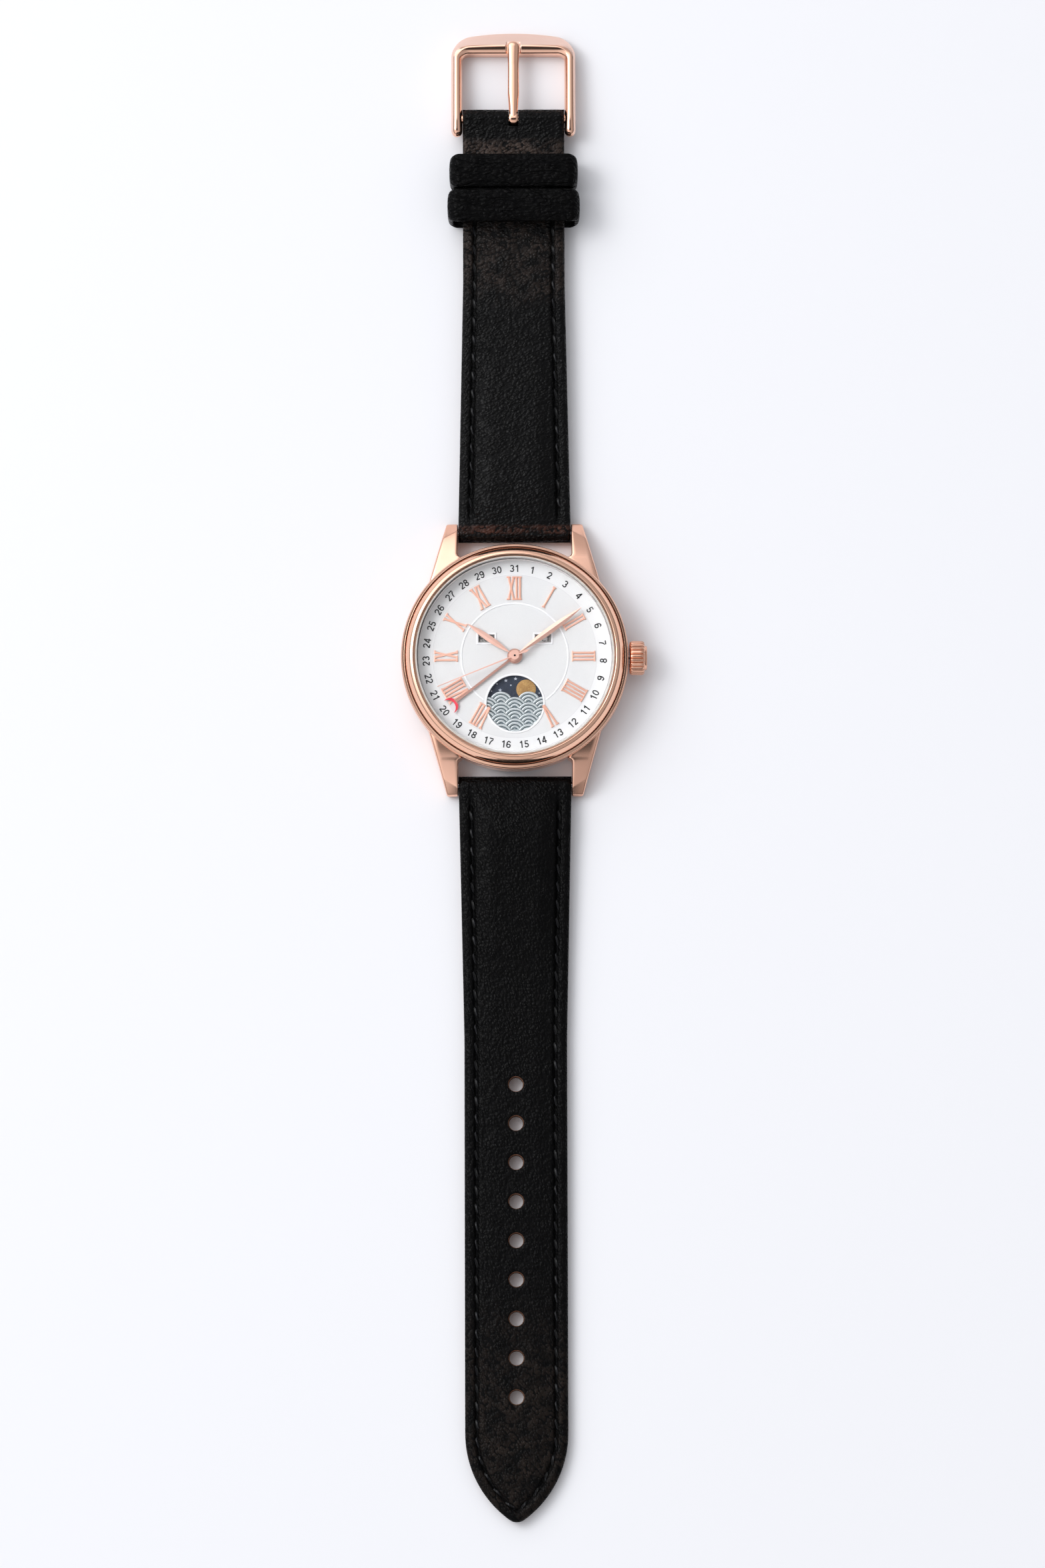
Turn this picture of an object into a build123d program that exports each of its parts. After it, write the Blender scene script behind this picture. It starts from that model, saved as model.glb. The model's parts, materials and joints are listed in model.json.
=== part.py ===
"""Wristwatch with a moon phase and calendar dial, a padded leather strap and a tongue buckle.

Millimetres. The origin is the centre of the caseback's flat face, on which the watch lies. +Z is up
through the dial, +Y points to 12 o'clock and to the buckle, and +X points to the crown.
"""

from build123d import *
import os
from math import cos, pi, radians, sin

os.makedirs("parts", exist_ok=True)

# Clearances
overrun_length = 1.0  # how far a cut runs past what it cuts
shake_gap = 0.05  # round a piece that turns or slides
push_fit_gap = 0.01  # round a piece that is pushed home and stays
face_gap = 0.05  # between faces that pass each other

# Case, turned from one blank
case_diameter = 36.0
case_wall_thickness = 2.0
case_floor_height = 0.55  # underside over the table
case_rise_height = 0.4  # rim over the dial's face
case_side_height = 2.4  # where the flank turns upright
case_knee_height = 1.2  # where the flank's two slopes meet
case_knee_width = 0.25  # how far in from the side that knee lies
case_foot_width = 0.7  # how far in from the side the underside ends

# Lugs
lug_gap = 18.0
lug_overlap_length = 6.4  # root, inward from the case's side
lug_nose_length = 1.7  # lug beyond the bar's axis
lug_root_depth = 0.6  # root's top below the case's rim
lug_root_width = 4.69
lug_tip_height = 0.4  # tip's top over the bar's axis
lug_tip_width = 1.75
lug_foot_height = 0.35
lug_round_radius = 0.5

# Spring bars
bar_gap = 2.1  # from the case's side to the bar's axis
bar_axis_height = 1.9
bar_diameter = 1.5
bar_end_gap = 0.4
tip_diameter = 0.8
tip_length = 3.9
tip_reach_length = 0.9  # how far a tip stands in its lug
tip_spare_length = 0.2  # lug hole beyond the tip

# Bezel
bezel_inset_width = 0.1
bezel_wall_thickness = 2.15
bezel_skirt_height = 0.35
bezel_lip_width = 0.25  # width and height of the slope inside the top edge
band_width = 1.1
band_height = 1.15
band_shoulder_width = 0.3
groove_width = 0.2
groove_depth = 1.4
groove_rim_depth = 1.25

# Crystal and dial ring
crystal_thickness = 1.2
crystal_bevel_width = 0.3
crystal_proud_height = 0.35  # glass over the bezel
crystal_gap = 0.42  # glass over the seconds hand
gasket_thickness = 0.25
gasket_height = 0.55
flange_thickness = 0.4

# Dial
dial_gap = 0.15
dial_thickness = 0.4
foot_diameter = 0.8
foot_depth = 0.6  # how far a dial foot goes into the plate
foot_inset_width = 0.6
window_width = 2.55
window_height = 1.28
window_rim_width = 0.3
window_rim_height = 0.08

# Applied hour numerals
numeral_height = 0.18
stroke_width = 0.32
serif_height = 0.24
serif_width = 0.56
bar_letter_width = 0.55
broad_letter_width = 1.15

# Wave plate under the moon opening
wave_radius = 1.91
wave_column_width = 2.186
wave_row_height = 0.86
wave_first_height = 1.95  # top of the first row over the middle of the moon opening
wave_rim_width = 0.4
wave_core_radius = 0.97
wave_relief_height = 0.25
wave_plate_thickness = 0.15
wave_plate_width = 0.35  # plate beyond the opening's edge

# Discs under the windows and the moon
disc_thickness = 0.2
disc_stud_diameter = 1.0
disc_gap = 0.18  # between the moon disc and the date wheel

# Hand tubes, from the innermost out
arbor_diameter = 0.3
tube_thickness = 0.2

# Hands
hand_gap = 0.1
hand_thickness = 0.2
hand_edge_thickness = 0.1
needle_thickness = 0.15
hour_hand_width = 1.0
minute_hand_width = 1.1
seconds_hand_width = 0.22
seconds_tail_length = 2.6
seconds_tail_width = 0.45
seconds_neck_length = 1.1
date_hand_width = 0.37
crescent_radius = 1.25
crescent_depth = 0.5
date_hub_diameter = 2.38
hour_hub_diameter = 1.9
minute_hub_diameter = 1.6
seconds_hub_diameter = 1.34
hub_overlap_length = 0.1

# Motion works
motion_centre_length = 2.5
pinion_gap = 0.05  # lowest wheels over the pocket's floor
lower_wheel_height = 0.25
upper_wheel_height = 0.2
date_wheel_height = 0.2
minute_stud_diameter = 0.4

# Movement
plate_thickness = 1.55
plate_rim_width = 0.42  # plate beyond the moon disc
holder_gap = 0.1
battery_gap = 0.1
battery_diameter = 6.8
battery_height = 1.5
coil_diameter = 1.4
coil_length = 7.0
coil_end_length = 1.2
coil_end_width = 1.8
coil_end_height = 0.5
board_width = 9.0
board_depth = 3.2
board_thickness = 0.4
bridge_width = 9.0
bridge_depth = 9.0
bridge_thickness = 0.4
bridge_gap = 0.75  # room for the train between bridge and plate
pillar_diameter = 1.2
pillar_inset_width = 1.4

# Caseback
caseback_inset_width = 1.0
caseback_rim_height = 0.95
caseback_bevel_width = 0.3
spigot_height = 0.35  # how far the spigot stands in the case's bore
back_gasket_thickness = 0.2
back_gasket_gap = 0.1
pry_width = 3.0
pry_depth = 0.4

# Crown and stem
crown_gap = 0.15
crown_axis_height = 0.1  # over the plate's underside
crown_diameter = 5.4
crown_length = 2.4
crown_cap_diameter = 3.9
crown_cap_length = 0.4
flute_depth = 0.22
crown_wall_thickness = 0.65  # solid end of the crown beyond its hollow
crown_seal_length = 0.4
crown_seal_thickness = 0.3
crown_tube_diameter = 2.0
crown_tube_length = 1.35  # tube inside the crown
stem_diameter = 0.9
stem_inside_length = 4.8  # stem inside the plate's edge
stem_neck_diameter = 0.5
stem_end_length = 0.4
stem_groove_width = 0.5
yoke_width = 1.8
yoke_foot_depth = 0.8
yoke_top_height = 0.4
yoke_gap = 0.15

# Strap, with lengths from the spring bar's axis
strap_gap = 0.1
strap_end_width = 16.2
strap_taper_length = 40.2
strap_leather_thickness = 0.55
bar_slack_gap = 0.1
pad_start_length = 7.2
pad_end_length = 30.2
strap_pad_height = 4.2
lining_thickness = 0.8
lining_start_length = 3.2
strap_fall_start_length = 4.2
strap_fall_end_length = 18.2

# Short strap, with lengths from the buckle pin's axis but for its own
short_strap_length = 66.9
short_strap_thickness = 2.3
fold_length = 3.1
slot_length = 2.5
slot_gap = 0.2

# Long strap
long_strap_length = 116.5
long_strap_height = 2.6
long_strap_end_height = 2.2
point_length = 14.3
point_round_radius = 2.0
hole_ease_gap = 0.65
first_hole_length = 47.4
hole_pitch_length = 6.15

# Keepers
keeper_length = 5.3
keeper_thickness = 1.15
keeper_gap = 1.0
free_keeper_gap = 1.35
keeper_room_height = 2.3
keeper_space_length = 0.3
keeper_place_length = 9.0  # fixed keeper's middle from the buckle pin's axis
keeper_round_radius = 1.6
keeper_inner_radius = 0.7

# Buckle, with lengths from its pin's axis
buckle_pin_diameter = 1.4
pin_slack_gap = 0.1
buckle_leather_thickness = 0.7
buckle_side_gap = 0.05
arm_width = 1.78
arm_start_length = 2.9
arm_height = 2.5
arm_round_radius = 1.0
buckle_inner_length = 10.5
buckle_arch_height = 0.5
buckle_corner_radius = 2.3
buckle_inner_radius = 1.1
buckle_edge_height = 0.35
crossbar_width = 3.75
crossbar_height = 3.15
crossbar_flat_width = 1.1
crossbar_lip_height = 1.1
crossbar_foot_height = 0.3
notch_gap = 0.15
notch_depth = 0.55

# Tongue
tongue_width = 1.95
tongue_thickness = 1.1
tongue_over_length = 2.05  # tongue over the crossbar
tongue_loop_thickness = 0.55
tongue_waist_height = 1.3
tongue_round_radius = 0.45

# Counts and angles
hour_angle = 304.5
minute_angle = 54.1
seconds_angle = 248.1
date_angle = 232.26
dial_foot_angles = (65.0, 245.0)
cannon_teeth = 12
minute_wheel_teeth = 36
minute_pinion_teeth = 10
hour_wheel_teeth = 40
date_teeth = 31
crown_flutes = 24
hole_count = 9
wave_rows = 8

# Shares of the dial's radius
moon_place_share = 0.47192
moon_opening_share = 0.28139
moon_disc_share = 0.30915
window_place_shares = (0.28202, 0.17981)
calendar_place_share = 0.46688
calendar_disc_share = 0.28076
numeral_inner_share = 0.56782
numeral_outer_share = 0.80442
hour_hand_share = 0.57413
minute_hand_share = 0.8265
seconds_hand_share = 0.83281
crescent_place_share = 0.81388

# Shares of the plate's radius
battery_place_shares = (-0.4375, -0.4375)
coil_place_shares = (0.40625, -0.48438)
board_place_shares = (0.35938, -0.25)
bridge_place_share = 0.26563

# Shares of a tooth, a flute and a letter
addendum_share = 0.8
dedendum_share = 1.2
tooth_tip_share = 0.08
flute_tip_share = 0.7
letter_foot_head_shares = {
    "I": ((0, 0),),
    "V": ((-0.07, -0.36), (0.07, 0.36)),
    "X": ((-0.36, 0.36), (0.36, -0.36)),
}

# Radii, from the case inwards
case_r = case_diameter / 2
bore_r = case_r - case_wall_thickness
bezel_r = case_r - bezel_inset_width
bezel_bore_r = bezel_r - bezel_wall_thickness
crystal_r = bezel_bore_r - gasket_thickness
caseback_r = case_r - caseback_inset_width
dial_r = bore_r - dial_gap
moon_y = -dial_r * moon_place_share
moon_opening_r = dial_r * moon_opening_share
moon_disc_r = dial_r * moon_disc_share
window_x, window_y = (dial_r * share for share in window_place_shares)
calendar_x = dial_r * calendar_place_share
calendar_disc_r = dial_r * calendar_disc_share
numeral_inner = dial_r * numeral_inner_share
numeral_outer = dial_r * numeral_outer_share
plate_r = moon_disc_r - moon_y + plate_rim_width
foot_r = plate_r - foot_inset_width
battery_place = tuple(plate_r * share for share in battery_place_shares)
coil_x, coil_y = (plate_r * share for share in coil_place_shares)
board_place = tuple(plate_r * share for share in board_place_shares)
bridge_y = plate_r * bridge_place_share
date_wheel_r = -moon_y - moon_disc_r - disc_gap
tip_r = tip_diameter / 2
arbor_r = arbor_diameter / 2
cannon_bore = arbor_r + shake_gap
cannon_r = cannon_bore + tube_thickness
hour_bore = cannon_r + shake_gap
hour_tube_r = hour_bore + tube_thickness
date_bore = hour_tube_r + shake_gap
date_tube_r = date_bore + tube_thickness
dial_hole_r = date_tube_r + shake_gap
low_module = 2 * motion_centre_length / (cannon_teeth + minute_wheel_teeth)
high_module = 2 * motion_centre_length / (minute_pinion_teeth + hour_wheel_teeth)
minute_centre = (0, motion_centre_length)
moon_centre = (0, moon_y)

# Heights, from the caseback up
back_seat = caseback_rim_height + back_gasket_thickness
spigot_top = back_seat + spigot_height
plate_bottom = spigot_top + battery_gap + battery_height
bridge_top = plate_bottom - bridge_gap
bridge_bottom = bridge_top - bridge_thickness
plate_top = plate_bottom + plate_thickness
lower_wheel_top = plate_top - upper_wheel_height - face_gap
lower_wheel_z = lower_wheel_top - lower_wheel_height
pocket_floor = lower_wheel_z - pinion_gap
hour_wheel_z = lower_wheel_top + face_gap
hour_wheel_top = hour_wheel_z + upper_wheel_height
date_wheel_z = hour_wheel_top + face_gap
disc_z = plate_top + face_gap
disc_top = disc_z + disc_thickness
dial_seat = disc_top + face_gap + wave_plate_thickness
dial_top = dial_seat + dial_thickness
case_top = dial_top + case_rise_height
date_hand_z = dial_top + numeral_height + hand_gap
hour_hand_z = date_hand_z + hand_thickness + hand_gap
minute_hand_z = hour_hand_z + hand_thickness + hand_gap
seconds_hand_z = minute_hand_z + hand_thickness + hand_gap
crystal_seat = seconds_hand_z + needle_thickness + crystal_gap
crystal_top = crystal_seat + crystal_thickness
bezel_top = crystal_top - crystal_proud_height

# Lugs, bars and crown
lug_face = lug_gap / 2
bar_y = case_r + bar_gap
lug_root_y = case_r - lug_overlap_length
lug_tip_y = bar_y + lug_nose_length
lug_root_top = case_top - lug_root_depth
lug_tip_top = bar_axis_height + lug_tip_height
lug_hole_end = lug_face + tip_reach_length + tip_spare_length
crown_start = case_r + crown_gap
crown_end = crown_start + crown_length
crown_height = plate_bottom + crown_axis_height
crown_axis = (0, 0, crown_height)
crown_tube_r = crown_tube_diameter / 2
tube_end = crown_start + crown_tube_length
crown_hollow_end = crown_end - crown_wall_thickness
yoke_foot = crown_height - yoke_foot_depth
yoke_top = crown_height + yoke_top_height
stem_r = stem_diameter / 2
stem_start = plate_r - stem_inside_length
stem_groove_start = stem_start + stem_end_length

# Strap, keepers and buckle
half_strap = lug_face - strap_gap
half_strap_end = strap_end_width / 2
strap_hole_r = bar_diameter / 2 + bar_slack_gap
strap_loop_r = strap_hole_r + strap_leather_thickness
strap_taper_end = bar_y + strap_taper_length
pad_start = bar_y + pad_start_length
pad_end = bar_y + pad_end_length
lining_start = bar_y + lining_start_length
fall_start = bar_y + strap_fall_start_length
fall_end = bar_y + strap_fall_end_length
short_strap_foot = keeper_thickness
short_strap_top = short_strap_foot + short_strap_thickness
pin_r = buckle_pin_diameter / 2
buckle_hole_r = pin_r + pin_slack_gap
buckle_loop_r = buckle_hole_r + buckle_leather_thickness
pin_y = bar_y + short_strap_length
pin_height = short_strap_foot + buckle_loop_r
pin_centre = (pin_y, pin_height)
fold_start = pin_y - fold_length
slot_start = pin_y - slot_length
long_strap_end = bar_y + long_strap_length
point_start = long_strap_end - point_length
first_hole = bar_y + first_hole_length
fixed_keeper_y = pin_y - keeper_place_length
free_keeper_y = fixed_keeper_y - keeper_length - keeper_space_length
free_keeper_thickness = keeper_thickness - face_gap
keeper_height = short_strap_top + keeper_room_height + keeper_thickness
buckle_gap = half_strap_end + buckle_side_gap
buckle_half = buckle_gap + arm_width
buckle_start = pin_y - arm_start_length
buckle_inner_end = pin_y + buckle_inner_length
buckle_end = buckle_inner_end + crossbar_width
crossbar_ridge = buckle_inner_end + crossbar_flat_width
arm_foot = pin_height - arm_height / 2
arm_top = pin_height + arm_height / 2
notch_floor = crossbar_height - notch_depth
tongue_r = pin_r + shake_gap + tongue_loop_thickness
tongue_seat = notch_floor + face_gap
tongue_top = tongue_seat + tongue_thickness
tongue_end = buckle_inner_end + tongue_over_length


def spin(points, mode=Mode.ADD):
    """Turn a closed outline of (radius, height) points about the watch's own axis."""
    with BuildSketch(Plane.XZ) as outline:
        with BuildLine():
            Polyline(*points, close=True)
        make_face()
    revolve(outline.sketch, axis=Axis.Z, mode=mode)


def turn(points, centre, mode=Mode.ADD):
    """Turn a closed outline of (x, radius) points about the line along X through centre."""
    with BuildSketch(Plane(centre, x_dir=(1, 0, 0), z_dir=(0, -1, 0))) as outline:
        with BuildLine():
            Polyline(*points, close=True)
        make_face()
    revolve(outline.sketch, axis=Axis(centre, (1, 0, 0)), mode=mode)


def tube(inner, outer, bottom, top):
    """An upright tube on the watch's axis."""
    spin([(inner, bottom), (outer, bottom), (outer, top), (inner, top)])


def post(radius, bottom, top, centre, mode=Mode.ADD):
    """An upright round post or hole."""
    with BuildSketch(Plane.XY.offset(bottom)) as outline:
        with Locations(centre):
            Circle(radius)
    extrude(outline.sketch, amount=top - bottom, mode=mode)


def clock(angle, height=0.0):
    """Plane at a height whose x points from the middle of the dial to a clock angle."""
    turned = radians(angle)
    return Plane((0, 0, height), x_dir=(sin(turned), cos(turned), 0), z_dir=(0, 0, 1))


def toothed_points(teeth, tip_radius, root_radius, tip_share, phase):
    """Outline of flat-topped teeth with straight flanks that meet at the root."""
    points = []
    for tooth in range(teeth):
        for radius, turn_share in (
            (tip_radius, -tip_share / 2),
            (tip_radius, tip_share / 2),
            (root_radius, 0.5),
        ):
            turned = phase + 2 * pi * (tooth + turn_share) / teeth
            points.append((radius * cos(turned), radius * sin(turned)))
    return points


def gear(teeth, module, bottom, height, bore, centre=(0, 0), phase=0.0):
    """A spur wheel with a round bore."""
    tip = module * (teeth / 2 + addendum_share)
    root = module * (teeth / 2 - dedendum_share)
    with BuildSketch(Plane.XY.offset(bottom)) as outline:
        with Locations(centre):
            Polygon(*toothed_points(teeth, tip, root, tooth_tip_share, phase), align=None)
            Circle(bore, mode=Mode.SUBTRACT)
    extrude(outline.sketch, amount=height)


# Case middle: turned blank, four lugs, then the bores
with BuildPart() as lug:
    with BuildSketch(Plane.YZ.offset(lug_face)) as lug_side:
        with BuildLine():
            back = TangentArc((lug_root_y, lug_root_top), (lug_tip_y, lug_tip_top), tangent=(1, 0))
            Polyline(back @ 1, (lug_tip_y, lug_foot_height), (lug_root_y, case_floor_height), back @ 0)
        make_face()
        fillet(lug_side.vertices().group_by(Axis.Y)[-1], lug_round_radius)
    extrude(amount=lug_root_width)
    with BuildSketch() as lug_plan:
        with BuildLine():
            Polyline(
                (lug_face, lug_root_y),
                (lug_face, lug_tip_y),
                (lug_face + lug_tip_width, lug_tip_y),
                (lug_face + lug_root_width, lug_root_y),
                close=True,
            )
        make_face()
        fillet(lug_plan.vertices().group_by(Axis.Y)[-1].sort_by(Axis.X)[-1], lug_round_radius)
    extrude(amount=case_top, mode=Mode.INTERSECT)

with BuildPart() as case_middle:
    spin(
        [
            (0, case_floor_height),
            (case_r - case_foot_width, case_floor_height),
            (case_r - case_knee_width, case_knee_height),
            (case_r, case_side_height),
            (case_r, case_top),
            (0, case_top),
        ]
    )
    add(lug.part)
    mirror(lug.part, about=Plane.YZ)
    mirror(about=Plane.XZ)
    recess_r = caseback_r + shake_gap
    spin(
        [
            (0, case_floor_height - overrun_length),
            (recess_r, case_floor_height - overrun_length),
            (recess_r, back_seat),
            (bore_r, back_seat),
            (bore_r, case_top + overrun_length),
            (0, case_top + overrun_length),
        ],
        Mode.SUBTRACT,
    )
    for end in (-1, 1):
        hole = [
            (-lug_hole_end, 0),
            (-lug_hole_end, tip_r + shake_gap),
            (lug_hole_end, tip_r + shake_gap),
            (lug_hole_end, 0),
        ]
        turn(hole, (0, end * bar_y, bar_axis_height), Mode.SUBTRACT)
    tube_hole_r = crown_tube_r + push_fit_gap
    tube_hole = [
        (bore_r - overrun_length, 0),
        (bore_r - overrun_length, tube_hole_r),
        (case_r + overrun_length, tube_hole_r),
        (case_r + overrun_length, 0),
    ]
    turn(tube_hole, crown_axis, Mode.SUBTRACT)
case_middle.part.label = "case_middle"
export_step(case_middle.part, "parts/case_middle.step")

# Bezel: an outer rounded ring, a groove and the main band round the glass
with BuildPart() as bezel:
    band_outer = bezel_bore_r + bezel_lip_width + band_width
    groove_outer = band_outer + groove_width
    spin(
        [
            (bezel_bore_r, case_top),
            (bezel_r, case_top),
            (bezel_r, case_top + bezel_skirt_height),
            (groove_outer, bezel_top - groove_rim_depth),
            ((groove_outer + band_outer) / 2, bezel_top - groove_depth),
            (band_outer, bezel_top - band_height),
            (band_outer - band_shoulder_width, bezel_top - 2 * band_shoulder_width),
            (band_outer - 2 * band_shoulder_width, bezel_top - band_shoulder_width / 2),
            (bezel_bore_r + bezel_lip_width, bezel_top),
            (bezel_bore_r, bezel_top - bezel_lip_width),
        ]
    )
bezel.part.label = "bezel"
export_step(bezel.part, "parts/bezel.step")

# Crystal
with BuildPart() as crystal:
    spin(
        [
            (0, crystal_seat),
            (crystal_r, crystal_seat),
            (crystal_r, crystal_top - crystal_bevel_width),
            (crystal_r - crystal_bevel_width, crystal_top),
            (0, crystal_top),
        ]
    )
crystal.part.label = "crystal"
export_step(crystal.part, "parts/crystal.step")

# Crystal gasket
with BuildPart() as crystal_gasket:
    tube(crystal_r, bezel_bore_r, crystal_seat, crystal_seat + gasket_height)
crystal_gasket.part.label = "crystal_gasket"
export_step(crystal_gasket.part, "parts/crystal_gasket.step")

# Dial flange: the upright ring between the dial's edge and the glass
with BuildPart() as dial_flange:
    flange_r = bezel_bore_r - face_gap
    tube(flange_r - flange_thickness, flange_r, dial_top, crystal_seat)
dial_flange.part.label = "dial_flange"
export_step(dial_flange.part, "parts/dial_flange.step")

# Dial
with BuildPart() as dial:
    with BuildSketch(Plane.XY.offset(dial_seat)):
        Circle(dial_r)
    extrude(amount=dial_thickness)
    with BuildSketch(Plane.XY.offset(dial_top)):
        with Locations((-window_x, window_y), (window_x, window_y)):
            Rectangle(window_width + 2 * window_rim_width, window_height + 2 * window_rim_width)
    extrude(amount=window_rim_height)
    with BuildSketch(Plane.XY.offset(dial_seat - overrun_length)):
        Circle(dial_hole_r)
        with Locations(moon_centre):
            Circle(moon_opening_r)
        with Locations((-window_x, window_y), (window_x, window_y)):
            Rectangle(window_width, window_height)
    extrude(amount=dial_thickness + 2 * overrun_length, mode=Mode.SUBTRACT)
    with BuildSketch(Plane.XY.offset(plate_top - foot_depth)):
        for foot_angle in dial_foot_angles:
            with PolarLocations(foot_r, 1, start_angle=foot_angle):
                Circle(foot_diameter / 2)
    extrude(amount=dial_seat + foot_depth - plate_top)
dial.part.label = "dial"
export_step(dial.part, "parts/dial.step")


def letter_strokes(letters):
    """Strokes of a numeral, as (letter, foot offset, head offset) from its middle."""
    widths = [bar_letter_width if letter == "I" else broad_letter_width for letter in letters]
    left = -sum(widths) / 2
    strokes = []
    for letter, width in zip(letters, widths):
        middle = left + width / 2
        left += width
        for foot, head in letter_foot_head_shares[letter]:
            strokes.append((letter, middle + foot * broad_letter_width, middle + head * broad_letter_width))
    return strokes


# Applied numerals, heads outward, with none at 6 o'clock, where the moon is
numerals = {
    1: "I",
    2: "II",
    3: "III",
    4: "IIII",
    5: "V",
    7: "VII",
    8: "VIII",
    9: "IX",
    10: "X",
    11: "XI",
    12: "XII",
}
for hour, letters in numerals.items():
    turned = radians(360 * hour / 12)
    face = Plane((0, 0, dial_top), x_dir=(cos(turned), -sin(turned), 0), z_dir=(0, 0, 1))
    with BuildPart() as numeral:
        with BuildSketch(face):
            for letter, foot, head in letter_strokes(letters):
                with BuildLine():
                    Polyline(
                        (foot - stroke_width / 2, numeral_inner),
                        (foot + stroke_width / 2, numeral_inner),
                        (head + stroke_width / 2, numeral_outer),
                        (head - stroke_width / 2, numeral_outer),
                        close=True,
                    )
                make_face()
                with Locations((head, numeral_outer - serif_height / 2)):
                    Rectangle(serif_width, serif_height)
                if letter != "V":
                    with Locations((foot, numeral_inner + serif_height / 2)):
                        Rectangle(serif_width, serif_height)
        extrude(amount=numeral_height)
    numeral.part.label = f"numeral_{hour}"
    export_step(numeral.part, f"parts/numeral_{hour}.step")

# Wave plate: overlapping scales, drawn from the back row to the front, each hiding what lies behind it
wave_tops = [
    (column * wave_column_width, wave_first_height - row * wave_row_height)
    for row in range(wave_rows)
    for column in (range(-1, 2, 2) if row % 2 == 0 else range(-2, 3, 2))
]
sea_r = moon_opening_r + wave_plate_width
with BuildPart() as wave_plate:
    with BuildSketch(Plane.XY.offset(dial_seat - wave_plate_thickness)) as sea:
        for x, top in wave_tops:
            with Locations((x, moon_y + top - wave_radius)):
                Circle(wave_radius)
        with Locations((0, moon_y + wave_first_height - 2 * wave_radius)):
            Rectangle(2 * sea_r, 2 * wave_radius, align=(Align.CENTER, Align.MAX))
        with Locations(moon_centre):
            Circle(sea_r, mode=Mode.INTERSECT)
    extrude(amount=wave_plate_thickness)
    with BuildSketch(Plane.XY.offset(dial_seat)) as crests:
        with Locations(moon_centre):
            Circle(2 * moon_opening_r)
            Circle(moon_opening_r, mode=Mode.SUBTRACT)
        for x, top in wave_tops:
            with Locations((x, moon_y + top - wave_radius)):
                Circle(wave_radius, mode=Mode.SUBTRACT)
                Circle(wave_radius - face_gap)
                Circle(wave_radius - wave_rim_width, mode=Mode.SUBTRACT)
                Circle(wave_core_radius)
        with Locations(moon_centre):
            Circle(moon_opening_r - face_gap, mode=Mode.INTERSECT)
    extrude(amount=wave_relief_height)
wave_plate.part.label = "wave_plate"
export_step(wave_plate.part, "parts/wave_plate.step")

# Moon, day and month discs, each on its stud
discs = {
    "moon_disc": (moon_centre, moon_disc_r),
    "day_disc": ((-calendar_x, window_y), calendar_disc_r),
    "month_disc": ((calendar_x, window_y), calendar_disc_r),
}
for disc_name, (centre, radius) in discs.items():
    with BuildPart() as disc:
        with BuildSketch(Plane.XY.offset(disc_z)):
            with Locations(centre):
                Circle(radius)
                Circle(disc_stud_diameter / 2 + shake_gap, mode=Mode.SUBTRACT)
        extrude(amount=disc_thickness)
    disc.part.label = disc_name
    export_step(disc.part, f"parts/{disc_name}.step")


def leaf(angle, bottom, length, width, root):
    """A leaf-shaped hand: two arcs in plan, with a ridge along the middle."""
    with BuildPart(mode=Mode.PRIVATE) as blade:
        with BuildSketch(clock(angle, bottom)):
            with BuildLine():
                middle = (root + length) / 2
                ThreePointArc((root, 0), (middle, width / 2), (length, 0))
                ThreePointArc((length, 0), (middle, -width / 2), (root, 0))
            make_face()
        extrude(amount=hand_thickness)
        along = clock(angle, bottom).x_dir
        with BuildSketch(Plane((0, 0, bottom), x_dir=Vector(0, 0, 1).cross(along), z_dir=along)):
            with BuildLine():
                Polyline(
                    (-width / 2, 0),
                    (width / 2, 0),
                    (width / 2, hand_edge_thickness),
                    (0, hand_thickness),
                    (-width / 2, hand_edge_thickness),
                    close=True,
                )
            make_face()
        extrude(amount=length, mode=Mode.INTERSECT)
    add(blade.part)


def hub(radius, bore, bottom, height):
    """The round middle of a hand, bored for its tube."""
    post(radius, bottom, bottom + height, (0, 0))
    top = bottom + height
    post(bore + push_fit_gap, bottom - overrun_length, top + overrun_length, (0, 0), Mode.SUBTRACT)


# Hour hand and the wheel whose tube carries it
with BuildPart() as hour_hand:
    hour_root = hour_hub_diameter / 2 - hub_overlap_length
    leaf(hour_angle, hour_hand_z, dial_r * hour_hand_share, hour_hand_width, hour_root)
    hub(hour_hub_diameter / 2, hour_tube_r, hour_hand_z, hand_thickness)
hour_hand.part.label = "hour_hand"
export_step(hour_hand.part, "parts/hour_hand.step")

with BuildPart() as hour_wheel:
    gear(hour_wheel_teeth, high_module, hour_wheel_z, upper_wheel_height, hour_bore, phase=pi / 2)
    tube(hour_bore, hour_tube_r, hour_wheel_z, hour_hand_z + hand_thickness)
hour_wheel.part.label = "hour_wheel"
export_step(hour_wheel.part, "parts/hour_wheel.step")

# Minute hand and the cannon pinion
with BuildPart() as minute_hand:
    minute_root = minute_hub_diameter / 2 - hub_overlap_length
    leaf(minute_angle, minute_hand_z, dial_r * minute_hand_share, minute_hand_width, minute_root)
    hub(minute_hub_diameter / 2, cannon_r, minute_hand_z, hand_thickness)
minute_hand.part.label = "minute_hand"
export_step(minute_hand.part, "parts/minute_hand.step")

with BuildPart() as cannon_pinion:
    gear(cannon_teeth, low_module, lower_wheel_z, lower_wheel_height, cannon_bore, phase=pi / 2)
    tube(cannon_bore, cannon_r, lower_wheel_z, minute_hand_z + hand_thickness)
cannon_pinion.part.label = "cannon_pinion"
export_step(cannon_pinion.part, "parts/cannon_pinion.step")

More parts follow.
